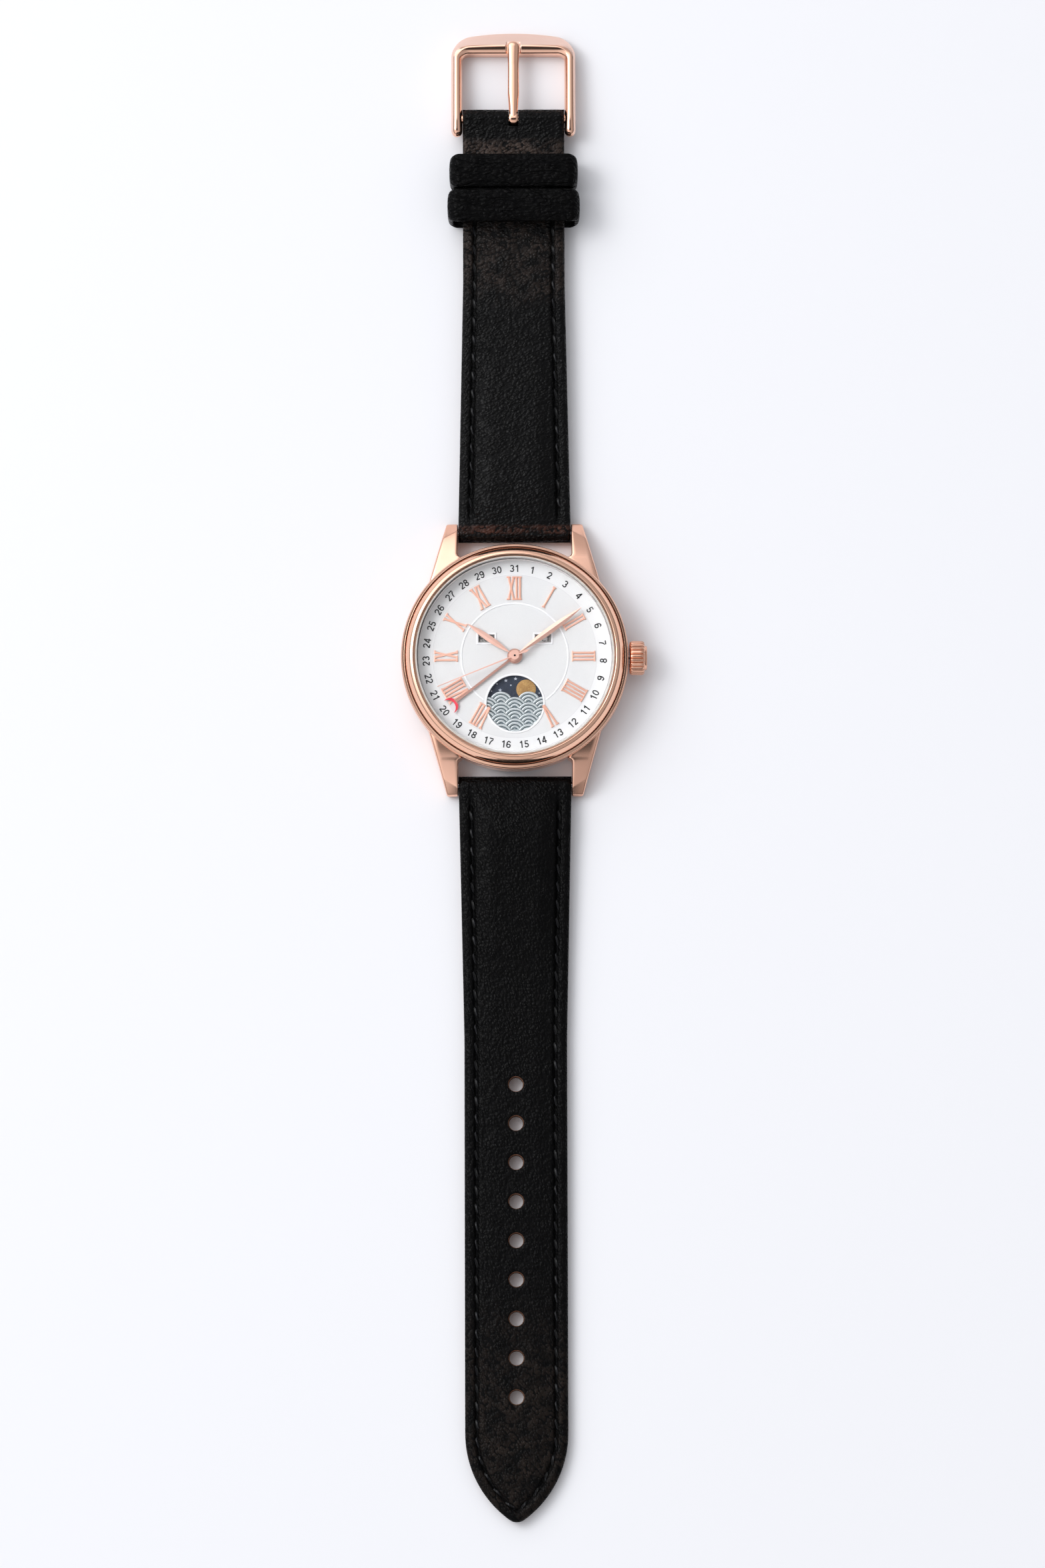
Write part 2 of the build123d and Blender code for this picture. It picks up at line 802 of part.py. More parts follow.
# Minute wheel and its pinion, on a stud at 12 o'clock
with BuildPart() as minute_wheel:
    stud_bore = minute_stud_diameter / 2 + shake_gap
    wheel_phase = -pi / 2 + pi / minute_wheel_teeth
    pinion_phase = -pi / 2 + pi / minute_pinion_teeth
    wheel_height = lower_wheel_height - face_gap
    pinion_height = hour_wheel_top - lower_wheel_z - wheel_height
    gear(minute_wheel_teeth, low_module, lower_wheel_z, wheel_height, stud_bore, minute_centre, wheel_phase)
    gear(
        minute_pinion_teeth,
        high_module,
        lower_wheel_z + wheel_height,
        pinion_height,
        stud_bore,
        minute_centre,
        pinion_phase,
    )
minute_wheel.part.label = "minute_wheel"
export_step(minute_wheel.part, "parts/minute_wheel.step")

# Seconds hand: a needle with a lance-shaped tail, on its arbor
with BuildPart() as seconds_hand:
    seconds_hand_r = dial_r * seconds_hand_share
    with BuildSketch(clock(seconds_angle, seconds_hand_z)):
        with BuildLine():
            Polyline(
                (seconds_hand_r, -seconds_hand_width / 4),
                (seconds_hand_r, seconds_hand_width / 4),
                (0, seconds_hand_width / 2),
                (-seconds_neck_length, seconds_hand_width / 2),
                (-(seconds_neck_length + seconds_tail_length) / 2, seconds_tail_width / 2),
                (-seconds_tail_length, 0),
                (-(seconds_neck_length + seconds_tail_length) / 2, -seconds_tail_width / 2),
                (-seconds_neck_length, -seconds_hand_width / 2),
                (0, -seconds_hand_width / 2),
                close=True,
            )
        make_face()
    extrude(amount=needle_thickness)
    hub(seconds_hub_diameter / 2, arbor_r, seconds_hand_z, needle_thickness)
seconds_hand.part.label = "seconds_hand"
export_step(seconds_hand.part, "parts/seconds_hand.step")

with BuildPart() as seconds_arbor:
    arbor_bottom = bridge_top + face_gap
    post(arbor_r, arbor_bottom, seconds_hand_z + needle_thickness + face_gap, (0, 0))
seconds_arbor.part.label = "seconds_arbor"
export_step(seconds_arbor.part, "parts/seconds_arbor.step")

# Date hand: a stick that ends in a crescent with its horns outward, and its wheel
with BuildPart() as date_hand:
    crescent_place = dial_r * crescent_place_share
    with BuildSketch(clock(date_angle, date_hand_z)):
        stick_length = crescent_place - crescent_radius + crescent_depth / 2
        Rectangle(stick_length, date_hand_width, align=(Align.MIN, Align.CENTER))
        with Locations((crescent_place, 0)):
            Circle(crescent_radius)
        with Locations((crescent_place + crescent_depth, 0)):
            Circle(crescent_radius, mode=Mode.SUBTRACT)
    extrude(amount=hand_thickness)
    hub(date_hub_diameter / 2, date_tube_r, date_hand_z, hand_thickness)
date_hand.part.label = "date_hand"
export_step(date_hand.part, "parts/date_hand.step")

with BuildPart() as date_wheel:
    date_module = 2 * date_wheel_r / (date_teeth + 2 * addendum_share)
    gear(date_teeth, date_module, date_wheel_z, date_wheel_height, date_bore)
    tube(date_bore, date_tube_r, date_wheel_z, date_hand_z + hand_thickness)
date_wheel.part.label = "date_wheel"
export_step(date_wheel.part, "parts/date_wheel.step")

# Main plate: a pocket for the motion works, studs for the wheels and discs, and a channel for the stem
with BuildPart() as main_plate:
    with BuildSketch(Plane.XY.offset(plate_bottom)):
        Circle(plate_r)
    extrude(amount=plate_top - plate_bottom)
    pocket_r = motion_centre_length + low_module * (minute_wheel_teeth / 2 + addendum_share) + 2 * face_gap
    post(pocket_r, pocket_floor, plate_top + overrun_length, (0, 0), Mode.SUBTRACT)
    post(minute_stud_diameter / 2, pocket_floor, hour_wheel_top, minute_centre)
    for centre, _ in discs.values():
        post(disc_stud_diameter / 2, pocket_floor, disc_top, centre)
    plate_hole = (plate_bottom - overrun_length, plate_top + overrun_length)
    post(arbor_r + shake_gap, *plate_hole, (0, 0), Mode.SUBTRACT)
    with BuildSketch(Plane.XY.offset(plate_top - foot_depth)):
        for foot_angle in dial_foot_angles:
            with PolarLocations(foot_r, 1, start_angle=foot_angle):
                Circle(foot_diameter / 2 + push_fit_gap)
    extrude(amount=foot_depth + overrun_length, mode=Mode.SUBTRACT)
    with BuildSketch(Plane.XY.offset(plate_bottom - overrun_length)):
        with Locations((stem_start - yoke_gap, 0)):
            Rectangle(plate_r, yoke_width + 2 * yoke_gap, align=(Align.MIN, Align.CENTER))
    extrude(amount=yoke_top + yoke_gap - plate_bottom + overrun_length, mode=Mode.SUBTRACT)
main_plate.part.label = "main_plate"
export_step(main_plate.part, "parts/main_plate.step")

# Movement holder: the ring that fills the case between the plate and the bore
with BuildPart() as movement_holder:
    tube(plate_r + shake_gap, bore_r - holder_gap, spigot_top, dial_seat)
    stem_way = [
        (plate_r - overrun_length, 0),
        (plate_r - overrun_length, stem_r + yoke_gap),
        (bore_r, stem_r + yoke_gap),
        (bore_r, 0),
    ]
    turn(stem_way, crown_axis, Mode.SUBTRACT)
movement_holder.part.label = "movement_holder"
export_step(movement_holder.part, "parts/movement_holder.step")

# Train bridge on two pillars under the plate
with BuildPart() as train_bridge:
    with BuildSketch(Plane.XY.offset(bridge_bottom)):
        with Locations((0, bridge_y)):
            Rectangle(bridge_width, bridge_depth)
    extrude(amount=bridge_thickness)
    with BuildSketch(Plane.XY.offset(bridge_top)):
        with Locations((0, bridge_y)):
            with GridLocations(bridge_width - 2 * pillar_inset_width, 0, 2, 1):
                Circle(pillar_diameter / 2)
    extrude(amount=plate_bottom - bridge_top)
train_bridge.part.label = "train_bridge"
export_step(train_bridge.part, "parts/train_bridge.step")

# Battery, coil and circuit board, against the plate's underside
with BuildPart() as battery:
    post(battery_diameter / 2, plate_bottom - battery_height, plate_bottom, battery_place)
battery.part.label = "battery"
export_step(battery.part, "parts/battery.step")

with BuildPart() as coil:
    coil_z = plate_bottom - coil_diameter / 2
    half_coil = coil_length / 2
    winding = [
        (coil_x - half_coil, 0),
        (coil_x - half_coil, coil_diameter / 2),
        (coil_x + half_coil, coil_diameter / 2),
        (coil_x + half_coil, 0),
    ]
    turn(winding, (0, coil_y, coil_z))
    with BuildSketch(Plane.XY.offset(coil_z - coil_end_height / 2)):
        with Locations((coil_x - half_coil, coil_y), (coil_x + half_coil, coil_y)):
            Rectangle(coil_end_length, coil_end_width)
    extrude(amount=coil_end_height)
coil.part.label = "coil"
export_step(coil.part, "parts/coil.step")

with BuildPart() as circuit_board:
    with BuildSketch(Plane.XY.offset(plate_bottom - board_thickness)):
        with Locations(board_place):
            Rectangle(board_width, board_depth)
    extrude(amount=board_thickness)
circuit_board.part.label = "circuit_board"
export_step(circuit_board.part, "parts/circuit_board.step")

# Caseback: a snap-on disc with a spigot and a slot to lift it by
with BuildPart() as caseback:
    spigot_r = bore_r - shake_gap
    spin(
        [
            (0, 0),
            (caseback_r - caseback_bevel_width, 0),
            (caseback_r, caseback_bevel_width),
            (caseback_r, caseback_rim_height),
            (spigot_r, caseback_rim_height),
            (spigot_r, spigot_top),
            (0, spigot_top),
        ]
    )
    with BuildSketch(Plane.XY.offset(case_floor_height)):
        with Locations((0, -caseback_r)):
            Rectangle(pry_width, 2 * pry_depth)
    extrude(amount=caseback_rim_height - case_floor_height + overrun_length, mode=Mode.SUBTRACT)
caseback.part.label = "caseback"
export_step(caseback.part, "parts/caseback.step")

with BuildPart() as caseback_gasket:
    tube(bore_r + back_gasket_gap, caseback_r - pry_depth - back_gasket_gap, caseback_rim_height, back_seat)
caseback_gasket.part.label = "caseback_gasket"
export_step(caseback_gasket.part, "parts/caseback_gasket.step")

# Crown: a fluted barrel, hollow over the tube in the case's side, with a low cap
with BuildPart() as crown:
    crown_r = crown_diameter / 2
    with BuildSketch(Plane.YZ.offset(crown_start)):
        with Locations((0, crown_height)):
            fluted = toothed_points(crown_flutes, crown_r, crown_r - flute_depth, flute_tip_share, 0)
            Polygon(*fluted, align=None)
    extrude(amount=crown_length)
    cap_r = crown_cap_diameter / 2
    cap_end = crown_end + crown_cap_length
    turn([(crown_end, 0), (crown_end, cap_r), (cap_end, cap_r), (cap_end, 0)], crown_axis)
    hollow_r = crown_tube_r + shake_gap + crown_seal_thickness + push_fit_gap
    stem_hole_r = stem_r + push_fit_gap
    turn(
        [
            (crown_start - overrun_length, 0),
            (crown_start - overrun_length, hollow_r),
            (crown_hollow_end, hollow_r),
            (crown_hollow_end, stem_hole_r),
            (crown_end, stem_hole_r),
            (crown_end, 0),
        ],
        crown_axis,
        Mode.SUBTRACT,
    )
crown.part.label = "crown"
export_step(crown.part, "parts/crown.step")

with BuildPart() as crown_gasket:
    seal_inner = crown_tube_r + shake_gap
    seal_end = crown_start + crown_seal_length
    turn(
        [
            (crown_start, seal_inner),
            (crown_start, seal_inner + crown_seal_thickness),
            (seal_end, seal_inner + crown_seal_thickness),
            (seal_end, seal_inner),
        ],
        crown_axis,
    )
crown_gasket.part.label = "crown_gasket"
export_step(crown_gasket.part, "parts/crown_gasket.step")

with BuildPart() as crown_tube:
    turn(
        [
            (bore_r, stem_r + shake_gap),
            (bore_r, crown_tube_r),
            (tube_end, crown_tube_r),
            (tube_end, stem_r + shake_gap),
        ],
        crown_axis,
    )
crown_tube.part.label = "crown_tube"
export_step(crown_tube.part, "parts/crown_tube.step")

# Winding stem, with the groove that the yoke sits in
groove_end = stem_groove_start + stem_groove_width
with BuildPart() as stem:
    neck_r = stem_neck_diameter / 2
    turn(
        [
            (stem_start, 0),
            (stem_start, stem_r),
            (stem_groove_start, stem_r),
            (stem_groove_start, neck_r),
            (groove_end, neck_r),
            (groove_end, stem_r),
            (crown_end, stem_r),
            (crown_end, 0),
        ],
        crown_axis,
    )
stem.part.label = "stem"
export_step(stem.part, "parts/stem.step")

with BuildPart() as setting_yoke:
    with BuildSketch(Plane.YZ.offset(stem_groove_start + shake_gap)):
        with BuildLine():
            fork = stem_neck_diameter / 2 + shake_gap
            Polyline(
                (-yoke_width / 2, yoke_foot),
                (yoke_width / 2, yoke_foot),
                (yoke_width / 2, yoke_top),
                (fork, yoke_top),
                (fork, crown_height - fork),
                (-fork, crown_height - fork),
                (-fork, yoke_top),
                (-yoke_width / 2, yoke_top),
                close=True,
            )
        make_face()
    extrude(amount=stem_groove_width - 2 * shake_gap)
setting_yoke.part.label = "setting_yoke"
export_step(setting_yoke.part, "parts/setting_yoke.step")

# Spring bars: a tube between the lugs with a sprung tip at each end
barrel_end = lug_face - bar_end_gap
tip_end = lug_face + tip_reach_length
for side_name, side in (("upper", 1), ("lower", -1)):
    bar_centre = (0, side * bar_y, bar_axis_height)
    with BuildPart() as spring_bar:
        barrel_r = bar_diameter / 2
        turn(
            [
                (-barrel_end, tip_r + shake_gap),
                (-barrel_end, barrel_r),
                (barrel_end, barrel_r),
                (barrel_end, tip_r + shake_gap),
            ],
            bar_centre,
        )
    spring_bar.part.label = f"spring_bar_{side_name}"
    export_step(spring_bar.part, f"parts/spring_bar_{side_name}.step")
    for hand_name, hand in (("left", -1), ("right", 1)):
        with BuildPart() as tip:
            with BuildSketch(Plane.YZ.offset(hand * (tip_end - tip_length))):
                with Locations((side * bar_y, bar_axis_height)):
                    Circle(tip_r)
            extrude(amount=hand * tip_length)
        tip.part.label = f"{side_name}_{hand_name}_tip"
        export_step(tip.part, f"parts/{side_name}_{hand_name}_tip.step")


def strap_side(end):
    """Plane of a strap's side view: x runs away from the watch, on the buckle side where end is 1."""
    return Plane((0, 0, 0), x_dir=(0, end, 0), z_dir=(end, 0, 0))


def strap_edge(reach):
    """Half the strap's plan as far as a reach, along its tapering edge."""
    start = bar_y - strap_loop_r
    return [(0, start), (half_strap, start), (half_strap_end, strap_taper_end), (half_strap_end, reach)]


def trim_to_plan(half_outline, end):
    """Keep what lies inside a plan given as half of it, in (half width, distance) points."""
    with BuildSketch(Plane.XY) as plan:
        with BuildLine():
            Polyline(*half_outline, (0, half_outline[-1][1]))
            Line((0, half_outline[-1][1]), (0, half_outline[0][1]))
        make_face()
        mirror(about=Plane.YZ)
        if end < 0:
            mirror(about=Plane.XZ, mode=Mode.REPLACE)
    extrude(plan.sketch, amount=strap_pad_height + overrun_length, mode=Mode.INTERSECT)


# Short strap: cover leather round both bars, and the lining under it
short_underside = [(fall_start, bar_axis_height - strap_loop_r), (fall_end, short_strap_foot)]
with BuildPart() as short_strap_cover:
    with BuildSketch(strap_side(1)):
        with BuildLine():
            Polyline(
                (bar_y, bar_axis_height - strap_loop_r),
                (lining_start, bar_axis_height - strap_loop_r),
                (lining_start, bar_axis_height - strap_loop_r + lining_thickness),
                *[(y, z + lining_thickness) for y, z in short_underside],
                (fold_start, short_strap_foot + lining_thickness),
                (fold_start, short_strap_foot),
                (pin_y, pin_height - buckle_loop_r),
                (pin_y, pin_height + buckle_loop_r),
                (fold_start, short_strap_top),
                (pad_end, short_strap_top),
                (pad_start, strap_pad_height),
                (bar_y, bar_axis_height + strap_loop_r),
                close=True,
            )
        make_face()
        with Locations((bar_y, bar_axis_height)):
            Circle(strap_loop_r)
            Circle(strap_hole_r, mode=Mode.SUBTRACT)
        with Locations(pin_centre):
            Circle(buckle_loop_r)
            Circle(buckle_hole_r, mode=Mode.SUBTRACT)
    extrude(amount=half_strap, both=True)
    trim_to_plan(strap_edge(pin_y + buckle_loop_r + overrun_length), 1)
    with BuildSketch():
        with Locations((0, slot_start)):
            Rectangle(tongue_width + 2 * slot_gap, pin_y, align=(Align.CENTER, Align.MIN))
    extrude(amount=pin_height + buckle_loop_r + overrun_length, mode=Mode.SUBTRACT)
short_strap_cover.part.label = "short_strap_cover"
export_step(short_strap_cover.part, "parts/short_strap_cover.step")

with BuildPart() as short_strap_lining:
    with BuildSketch(strap_side(1)):
        with BuildLine():
            Polyline(
                (lining_start, bar_axis_height - strap_loop_r),
                *short_underside,
                (fold_start, short_strap_foot),
                (fold_start, short_strap_foot + lining_thickness),
                *[(y, z + lining_thickness) for y, z in reversed(short_underside)],
                (lining_start, bar_axis_height - strap_loop_r + lining_thickness),
                close=True,
            )
        make_face()
    extrude(amount=half_strap, both=True)
    trim_to_plan(strap_edge(pin_y), 1)
short_strap_lining.part.label = "short_strap_lining"
export_step(short_strap_lining.part, "parts/short_strap_lining.step")


def point_to_plan(end):
    """Keep what lies inside the long strap's plan, with its pointed end."""
    with BuildSketch(Plane.XY) as plan:
        with BuildLine():
            edge = strap_edge(point_start)
            Polyline(*edge)
            curve = TangentArc(edge[-1], (0, long_strap_end), tangent=(0, 1))
            Line(curve @ 1, edge[0])
        make_face()
        mirror(about=Plane.YZ)
        fillet(plan.vertices().sort_by(Axis.Y)[-1], point_round_radius)
    turned = plan.sketch.rotate(Axis.Z, 180) if end < 0 else plan.sketch
    extrude(turned, amount=strap_pad_height + overrun_length, mode=Mode.INTERSECT)


def buckle_holes():
    """The row of holes that the tongue goes through."""
    with BuildSketch(Plane.XY.offset(-overrun_length)) as holes:
        for hole in range(hole_count):
            with Locations((0, -first_hole - hole * hole_pitch_length)):
                Circle((tongue_width + hole_ease_gap) / 2)
    extrude(holes.sketch, amount=strap_pad_height + 2 * overrun_length, mode=Mode.SUBTRACT)


# Long strap, lying on the table, with its holes and point
long_underside = [(fall_start, bar_axis_height - strap_loop_r), (fall_end, 0)]
with BuildPart() as long_strap_cover:
    with BuildSketch(strap_side(-1)):
        with BuildLine():
            Polyline(
                (bar_y, bar_axis_height - strap_loop_r),
                (lining_start, bar_axis_height - strap_loop_r),
                (lining_start, bar_axis_height - strap_loop_r + lining_thickness),
                *[(y, z + lining_thickness) for y, z in long_underside],
                (long_strap_end, lining_thickness),
                (long_strap_end, long_strap_end_height),
                (pad_end, long_strap_height),
                (pad_start, strap_pad_height),
                (bar_y, bar_axis_height + strap_loop_r),
                close=True,
            )
        make_face()
        with Locations((bar_y, bar_axis_height)):
            Circle(strap_loop_r)
            Circle(strap_hole_r, mode=Mode.SUBTRACT)
    extrude(amount=half_strap, both=True)
    point_to_plan(-1)
    buckle_holes()
long_strap_cover.part.label = "long_strap_cover"
export_step(long_strap_cover.part, "parts/long_strap_cover.step")

with BuildPart() as long_strap_lining:
    with BuildSketch(strap_side(-1)):
        with BuildLine():
            Polyline(
                (lining_start, bar_axis_height - strap_loop_r),
                *long_underside,
                (long_strap_end, 0),
                (long_strap_end, lining_thickness),
                *[(y, z + lining_thickness) for y, z in reversed(long_underside)],
                (lining_start, bar_axis_height - strap_loop_r + lining_thickness),
                close=True,
            )
        make_face()
    extrude(amount=half_strap, both=True)
    point_to_plan(-1)
    buckle_holes()
long_strap_lining.part.label = "long_strap_lining"
export_step(long_strap_lining.part, "parts/long_strap_lining.step")

# Keepers: closed leather bands round the short strap, one sewn to it and one that slides
keepers = {
    "fixed_keeper": (fixed_keeper_y, keeper_gap, keeper_thickness),
    "free_keeper": (free_keeper_y, free_keeper_gap, free_keeper_thickness),
}
for keeper_name, (middle, side_gap, wall) in keepers.items():
    room = (2 * (half_strap_end + side_gap), keeper_height - 2 * wall)
    with BuildPart() as keeper:
        with BuildSketch(Plane.XZ.offset(-middle)):
            with Locations((0, keeper_height / 2)):
                RectangleRounded(room[0] + 2 * wall, keeper_height, keeper_round_radius)
                RectangleRounded(*room, keeper_inner_radius, mode=Mode.SUBTRACT)
        extrude(amount=keeper_length / 2, both=True)
    keeper.part.label = keeper_name
    export_step(keeper.part, f"parts/{keeper_name}.step")

# Buckle frame: its plan cut to its side view, with a notch for the tongue
with BuildPart() as buckle_frame:
    with BuildSketch() as frame_plan:
        with BuildLine():
            shoulder = buckle_end - buckle_arch_height
            Polyline((0, buckle_start), (buckle_half, buckle_start), (buckle_half, shoulder))
            arch = ThreePointArc((buckle_half, shoulder), (0, buckle_end), (-buckle_half, shoulder))
            Polyline(arch @ 1, (-buckle_half, buckle_start), (0, buckle_start))
        make_face()
        fillet(frame_plan.vertices().filter_by(lambda v: v.Y > crossbar_ridge), buckle_corner_radius)
        with Locations((0, buckle_inner_end)):
            Rectangle(2 * buckle_gap, buckle_end, align=(Align.CENTER, Align.MAX), mode=Mode.SUBTRACT)
        inner = frame_plan.vertices().filter_by(lambda v: abs(v.Y - buckle_inner_end) < push_fit_gap)
        fillet(inner, buckle_inner_radius)
    extrude(amount=arm_top)
    with BuildSketch(Plane.YZ) as frame_side:
        with BuildLine():
            Polyline(
                (buckle_start, arm_foot),
                (buckle_inner_end, 0),
                (buckle_end - buckle_arch_height, 0),
                (buckle_end, crossbar_foot_height),
                (buckle_end, crossbar_lip_height),
                (crossbar_ridge, crossbar_height),
                (buckle_inner_end, crossbar_height),
                (pin_y, arm_top),
                (buckle_start, arm_top - buckle_edge_height),
                close=True,
            )
        make_face()
        fillet(frame_side.vertices().group_by(Axis.X)[0], arm_round_radius)
    extrude(amount=buckle_half, both=True, mode=Mode.INTERSECT)
    with BuildSketch(Plane.XY.offset(notch_floor)):
        with Locations((0, buckle_inner_end)):
            Rectangle(tongue_width + 2 * notch_gap, 2 * (tongue_over_length + shake_gap))
    extrude(amount=arm_top, mode=Mode.SUBTRACT)
    turn(
        [
            (-buckle_half - overrun_length, 0),
            (-buckle_half - overrun_length, pin_r + push_fit_gap),
            (buckle_half + overrun_length, pin_r + push_fit_gap),
            (buckle_half + overrun_length, 0),
        ],
        (0, pin_y, pin_height),
        Mode.SUBTRACT,
    )
buckle_frame.part.label = "buckle_frame"
export_step(buckle_frame.part, "parts/buckle_frame.step")

with BuildPart() as buckle_pin:
    with BuildSketch(Plane.YZ):
        with Locations(pin_centre):
            Circle(pin_r)
    extrude(amount=buckle_half, both=True)
buckle_pin.part.label = "buckle_pin"
export_step(buckle_pin.part, "parts/buckle_pin.step")

# Tongue: a loop round the pin and a rounded bar that rests in the notch
with BuildPart() as buckle_tongue:
    with BuildSketch(Plane.YZ) as tongue_side:
        with BuildLine():
            Polyline(
                (pin_y, pin_height + tongue_r),
                (pin_y, pin_height),
                (pin_y + tongue_r, tongue_top - tongue_waist_height),
                (buckle_inner_end, tongue_seat),
                (tongue_end, tongue_seat),
                (tongue_end, tongue_top),
                close=True,
            )
        make_face()
        fillet(tongue_side.vertices().group_by(Axis.X)[-1].sort_by(Axis.Y)[-1], tongue_round_radius)
        with Locations(pin_centre):
            Circle(tongue_r)
            Circle(pin_r + shake_gap, mode=Mode.SUBTRACT)
    extrude(amount=tongue_width / 2, both=True)
buckle_tongue.part.label = "buckle_tongue"
export_step(buckle_tongue.part, "parts/buckle_tongue.step")
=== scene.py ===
"""Looks of the moon phase watch: smooth surfaces, leather, stitches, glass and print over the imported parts.

Lengths here are millimetres in the watch's own frame and become metres in `finish_piece`.
"""

import json
import math

import bmesh
import bpy
import numpy as np
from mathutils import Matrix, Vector

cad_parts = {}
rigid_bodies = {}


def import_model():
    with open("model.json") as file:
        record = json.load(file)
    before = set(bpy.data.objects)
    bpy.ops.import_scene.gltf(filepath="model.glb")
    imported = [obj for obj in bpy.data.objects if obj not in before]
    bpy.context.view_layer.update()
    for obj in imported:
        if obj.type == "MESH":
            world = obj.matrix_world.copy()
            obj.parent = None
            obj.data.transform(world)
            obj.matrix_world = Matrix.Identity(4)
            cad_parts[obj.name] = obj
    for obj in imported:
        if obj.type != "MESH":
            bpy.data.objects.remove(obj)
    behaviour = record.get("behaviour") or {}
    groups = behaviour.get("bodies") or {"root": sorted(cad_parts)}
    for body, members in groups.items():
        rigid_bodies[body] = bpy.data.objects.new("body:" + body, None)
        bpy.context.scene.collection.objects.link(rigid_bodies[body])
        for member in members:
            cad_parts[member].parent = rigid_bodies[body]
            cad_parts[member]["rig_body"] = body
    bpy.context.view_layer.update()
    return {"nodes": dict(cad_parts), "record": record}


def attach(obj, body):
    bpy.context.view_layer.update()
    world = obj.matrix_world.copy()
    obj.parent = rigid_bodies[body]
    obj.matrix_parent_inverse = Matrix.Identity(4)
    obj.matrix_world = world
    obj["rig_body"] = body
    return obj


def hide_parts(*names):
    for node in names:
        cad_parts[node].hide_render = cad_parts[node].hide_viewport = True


MILLIMETRE = 0.001

# Case and dial
bar_y = 20.1
bar_z = 1.9
lug_face = 9.0
lug_root = 11.6
lug_root_x = 13.69
lug_tip = 21.8
lug_tip_x = 10.75
lug_root_z = 5.3
lug_tip_z = 2.3
lug_nose = 0.28
crown_z = 3.2
dial_top = 5.5
disc_top = 4.9
disc_x = 7.4
window_x = 4.47
window_y = 2.85
window_half = (1.275, 0.64)
date_ring_r = 14.04
hour_ring_r = 8.46
moon_y = -7.48

# Straps, as half widths and distances from the watch's middle
strap_start_half = 8.93
strap_end_half = 8.1
taper_end = 60.3
edge_band = 1.85
pad_edge = 5.2
stitch_pitch = 2.8
lining_thick = 0.8
loop_r = 1.4
lining_start = 23.32
first_hole = 67.5
hole_pitch = 6.15
hole_count = 9
last_hole = first_hole + (hole_count - 1) * hole_pitch
hole_r = 1.2
hole_square = 1.9
hole_rim = 0.95
hole_steps = 13
fold_start = 83.9
slot_start = 85.65
slot_half = 0.77
pin_y = 87.0
pin_z = 2.65
pin_loop_r = 1.5
point_start = 122.3
point_r = 16.673
point_round = 2.0
point_middle = 134.208
point_end = point_middle + point_round
point_nose = 1.29

# Buckle
arm_inner = 8.15
arm_outer = 9.93
arm_start = 84.1
bar_inner = 97.5
bar_outer = 100.15
bar_arch = 1.1
bar_width = 3.75
inner_corner = 1.1
outer_corner = 3.0
tongue_end = 99.55
rest_half = 1.125
rest_z = 2.62

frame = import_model()
nodes = frame["nodes"]


# Meshes


def smooth_step(value, low, high):
    """0 below low, 1 above high, and 3t^2 - 2t^3 between them."""
    t = np.clip((value - low) / (high - low), 0, 1)
    return t * t * (3 - 2 * t)


def grid_quads(rows, columns, wrap_rows=False, wrap_columns=False):
    """Quads of a grid numbered row by row. A wrapped side joins its last line to its first."""
    number = np.arange(rows * columns).reshape(rows, columns)
    if wrap_rows:
        number = np.vstack([number, number[:1]])
    if wrap_columns:
        number = np.hstack([number, number[:, :1]])
    corners = [number[:-1, :-1], number[1:, :-1], number[1:, 1:], number[:-1, 1:]]
    return np.stack(corners, -1).reshape(-1, 4)


def join_shells(shells):
    """One list of points and one of quads from several (points, quads)."""
    points, quads, count = [], [], 0
    for shell_points, shell_quads in shells:
        shell_points = np.asarray(shell_points, float).reshape(-1, 3)
        points.append(shell_points)
        quads.append(shell_quads + count)
        count += len(shell_points)
    return np.vstack(points), np.vstack(quads)


def place_piece(piece, body, replaced):
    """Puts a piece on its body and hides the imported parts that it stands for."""
    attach(piece, body)
    if replaced:
        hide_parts(*replaced)
    return piece


def finish_piece(name, points, quads, material, body, slot=None, replaced=(), sharp=50.0):
    """A closed piece from points in millimetres: doubles merged, loose points dropped, faces outward."""
    mesh = bpy.data.meshes.new(name)
    mesh.from_pydata((np.asarray(points, float) * MILLIMETRE).tolist(), [], quads.tolist())
    shell = bmesh.new()
    shell.from_mesh(mesh)
    bmesh.ops.remove_doubles(shell, verts=shell.verts, dist=1.5e-6)
    loose = [vert for vert in shell.verts if not vert.link_faces]
    bmesh.ops.delete(shell, geom=loose, context="VERTS")
    bmesh.ops.recalc_face_normals(shell, faces=shell.faces)
    shell.to_mesh(mesh)
    shell.free()
    mesh.polygons.foreach_set("use_smooth", [True] * len(mesh.polygons))
    mesh.set_sharp_from_angle(angle=math.radians(sharp))
    mesh.materials.append(material)
    piece = bpy.data.objects.new(name, mesh)
    bpy.context.scene.collection.objects.link(piece)
    return place_piece(piece, body, replaced)


def rounded_outline(corners, radii, steps=5):
    """A closed outline with its corners eased: at each one a curve (1-t)^2 a + 2t(1-t) c + t^2 b between
    the points a radius before and after it, and a point just outside each end, which keeps the flats flat."""
    corner = np.asarray(corners, float)
    radius = np.broadcast_to(np.asarray(radii, float), len(corner))[:, None]
    before = np.roll(corner, 1, 0) - corner
    after = np.roll(corner, -1, 0) - corner
    before /= np.linalg.norm(before, axis=1)[:, None]
    after /= np.linalg.norm(after, axis=1)[:, None]
    a, b = corner + radius * before, corner + radius * after
    t = np.linspace(0, 1, steps)[None, :, None]
    curve = (1 - t) ** 2 * a[:, None] + 2 * t * (1 - t) * corner[:, None] + t**2 * b[:, None]
    outer_a = (a + 0.15 * radius * before)[:, None]
    outer_b = (b + 0.15 * radius * after)[:, None]
    return np.concatenate([outer_a, curve, outer_b], 1).reshape(-1, 2)


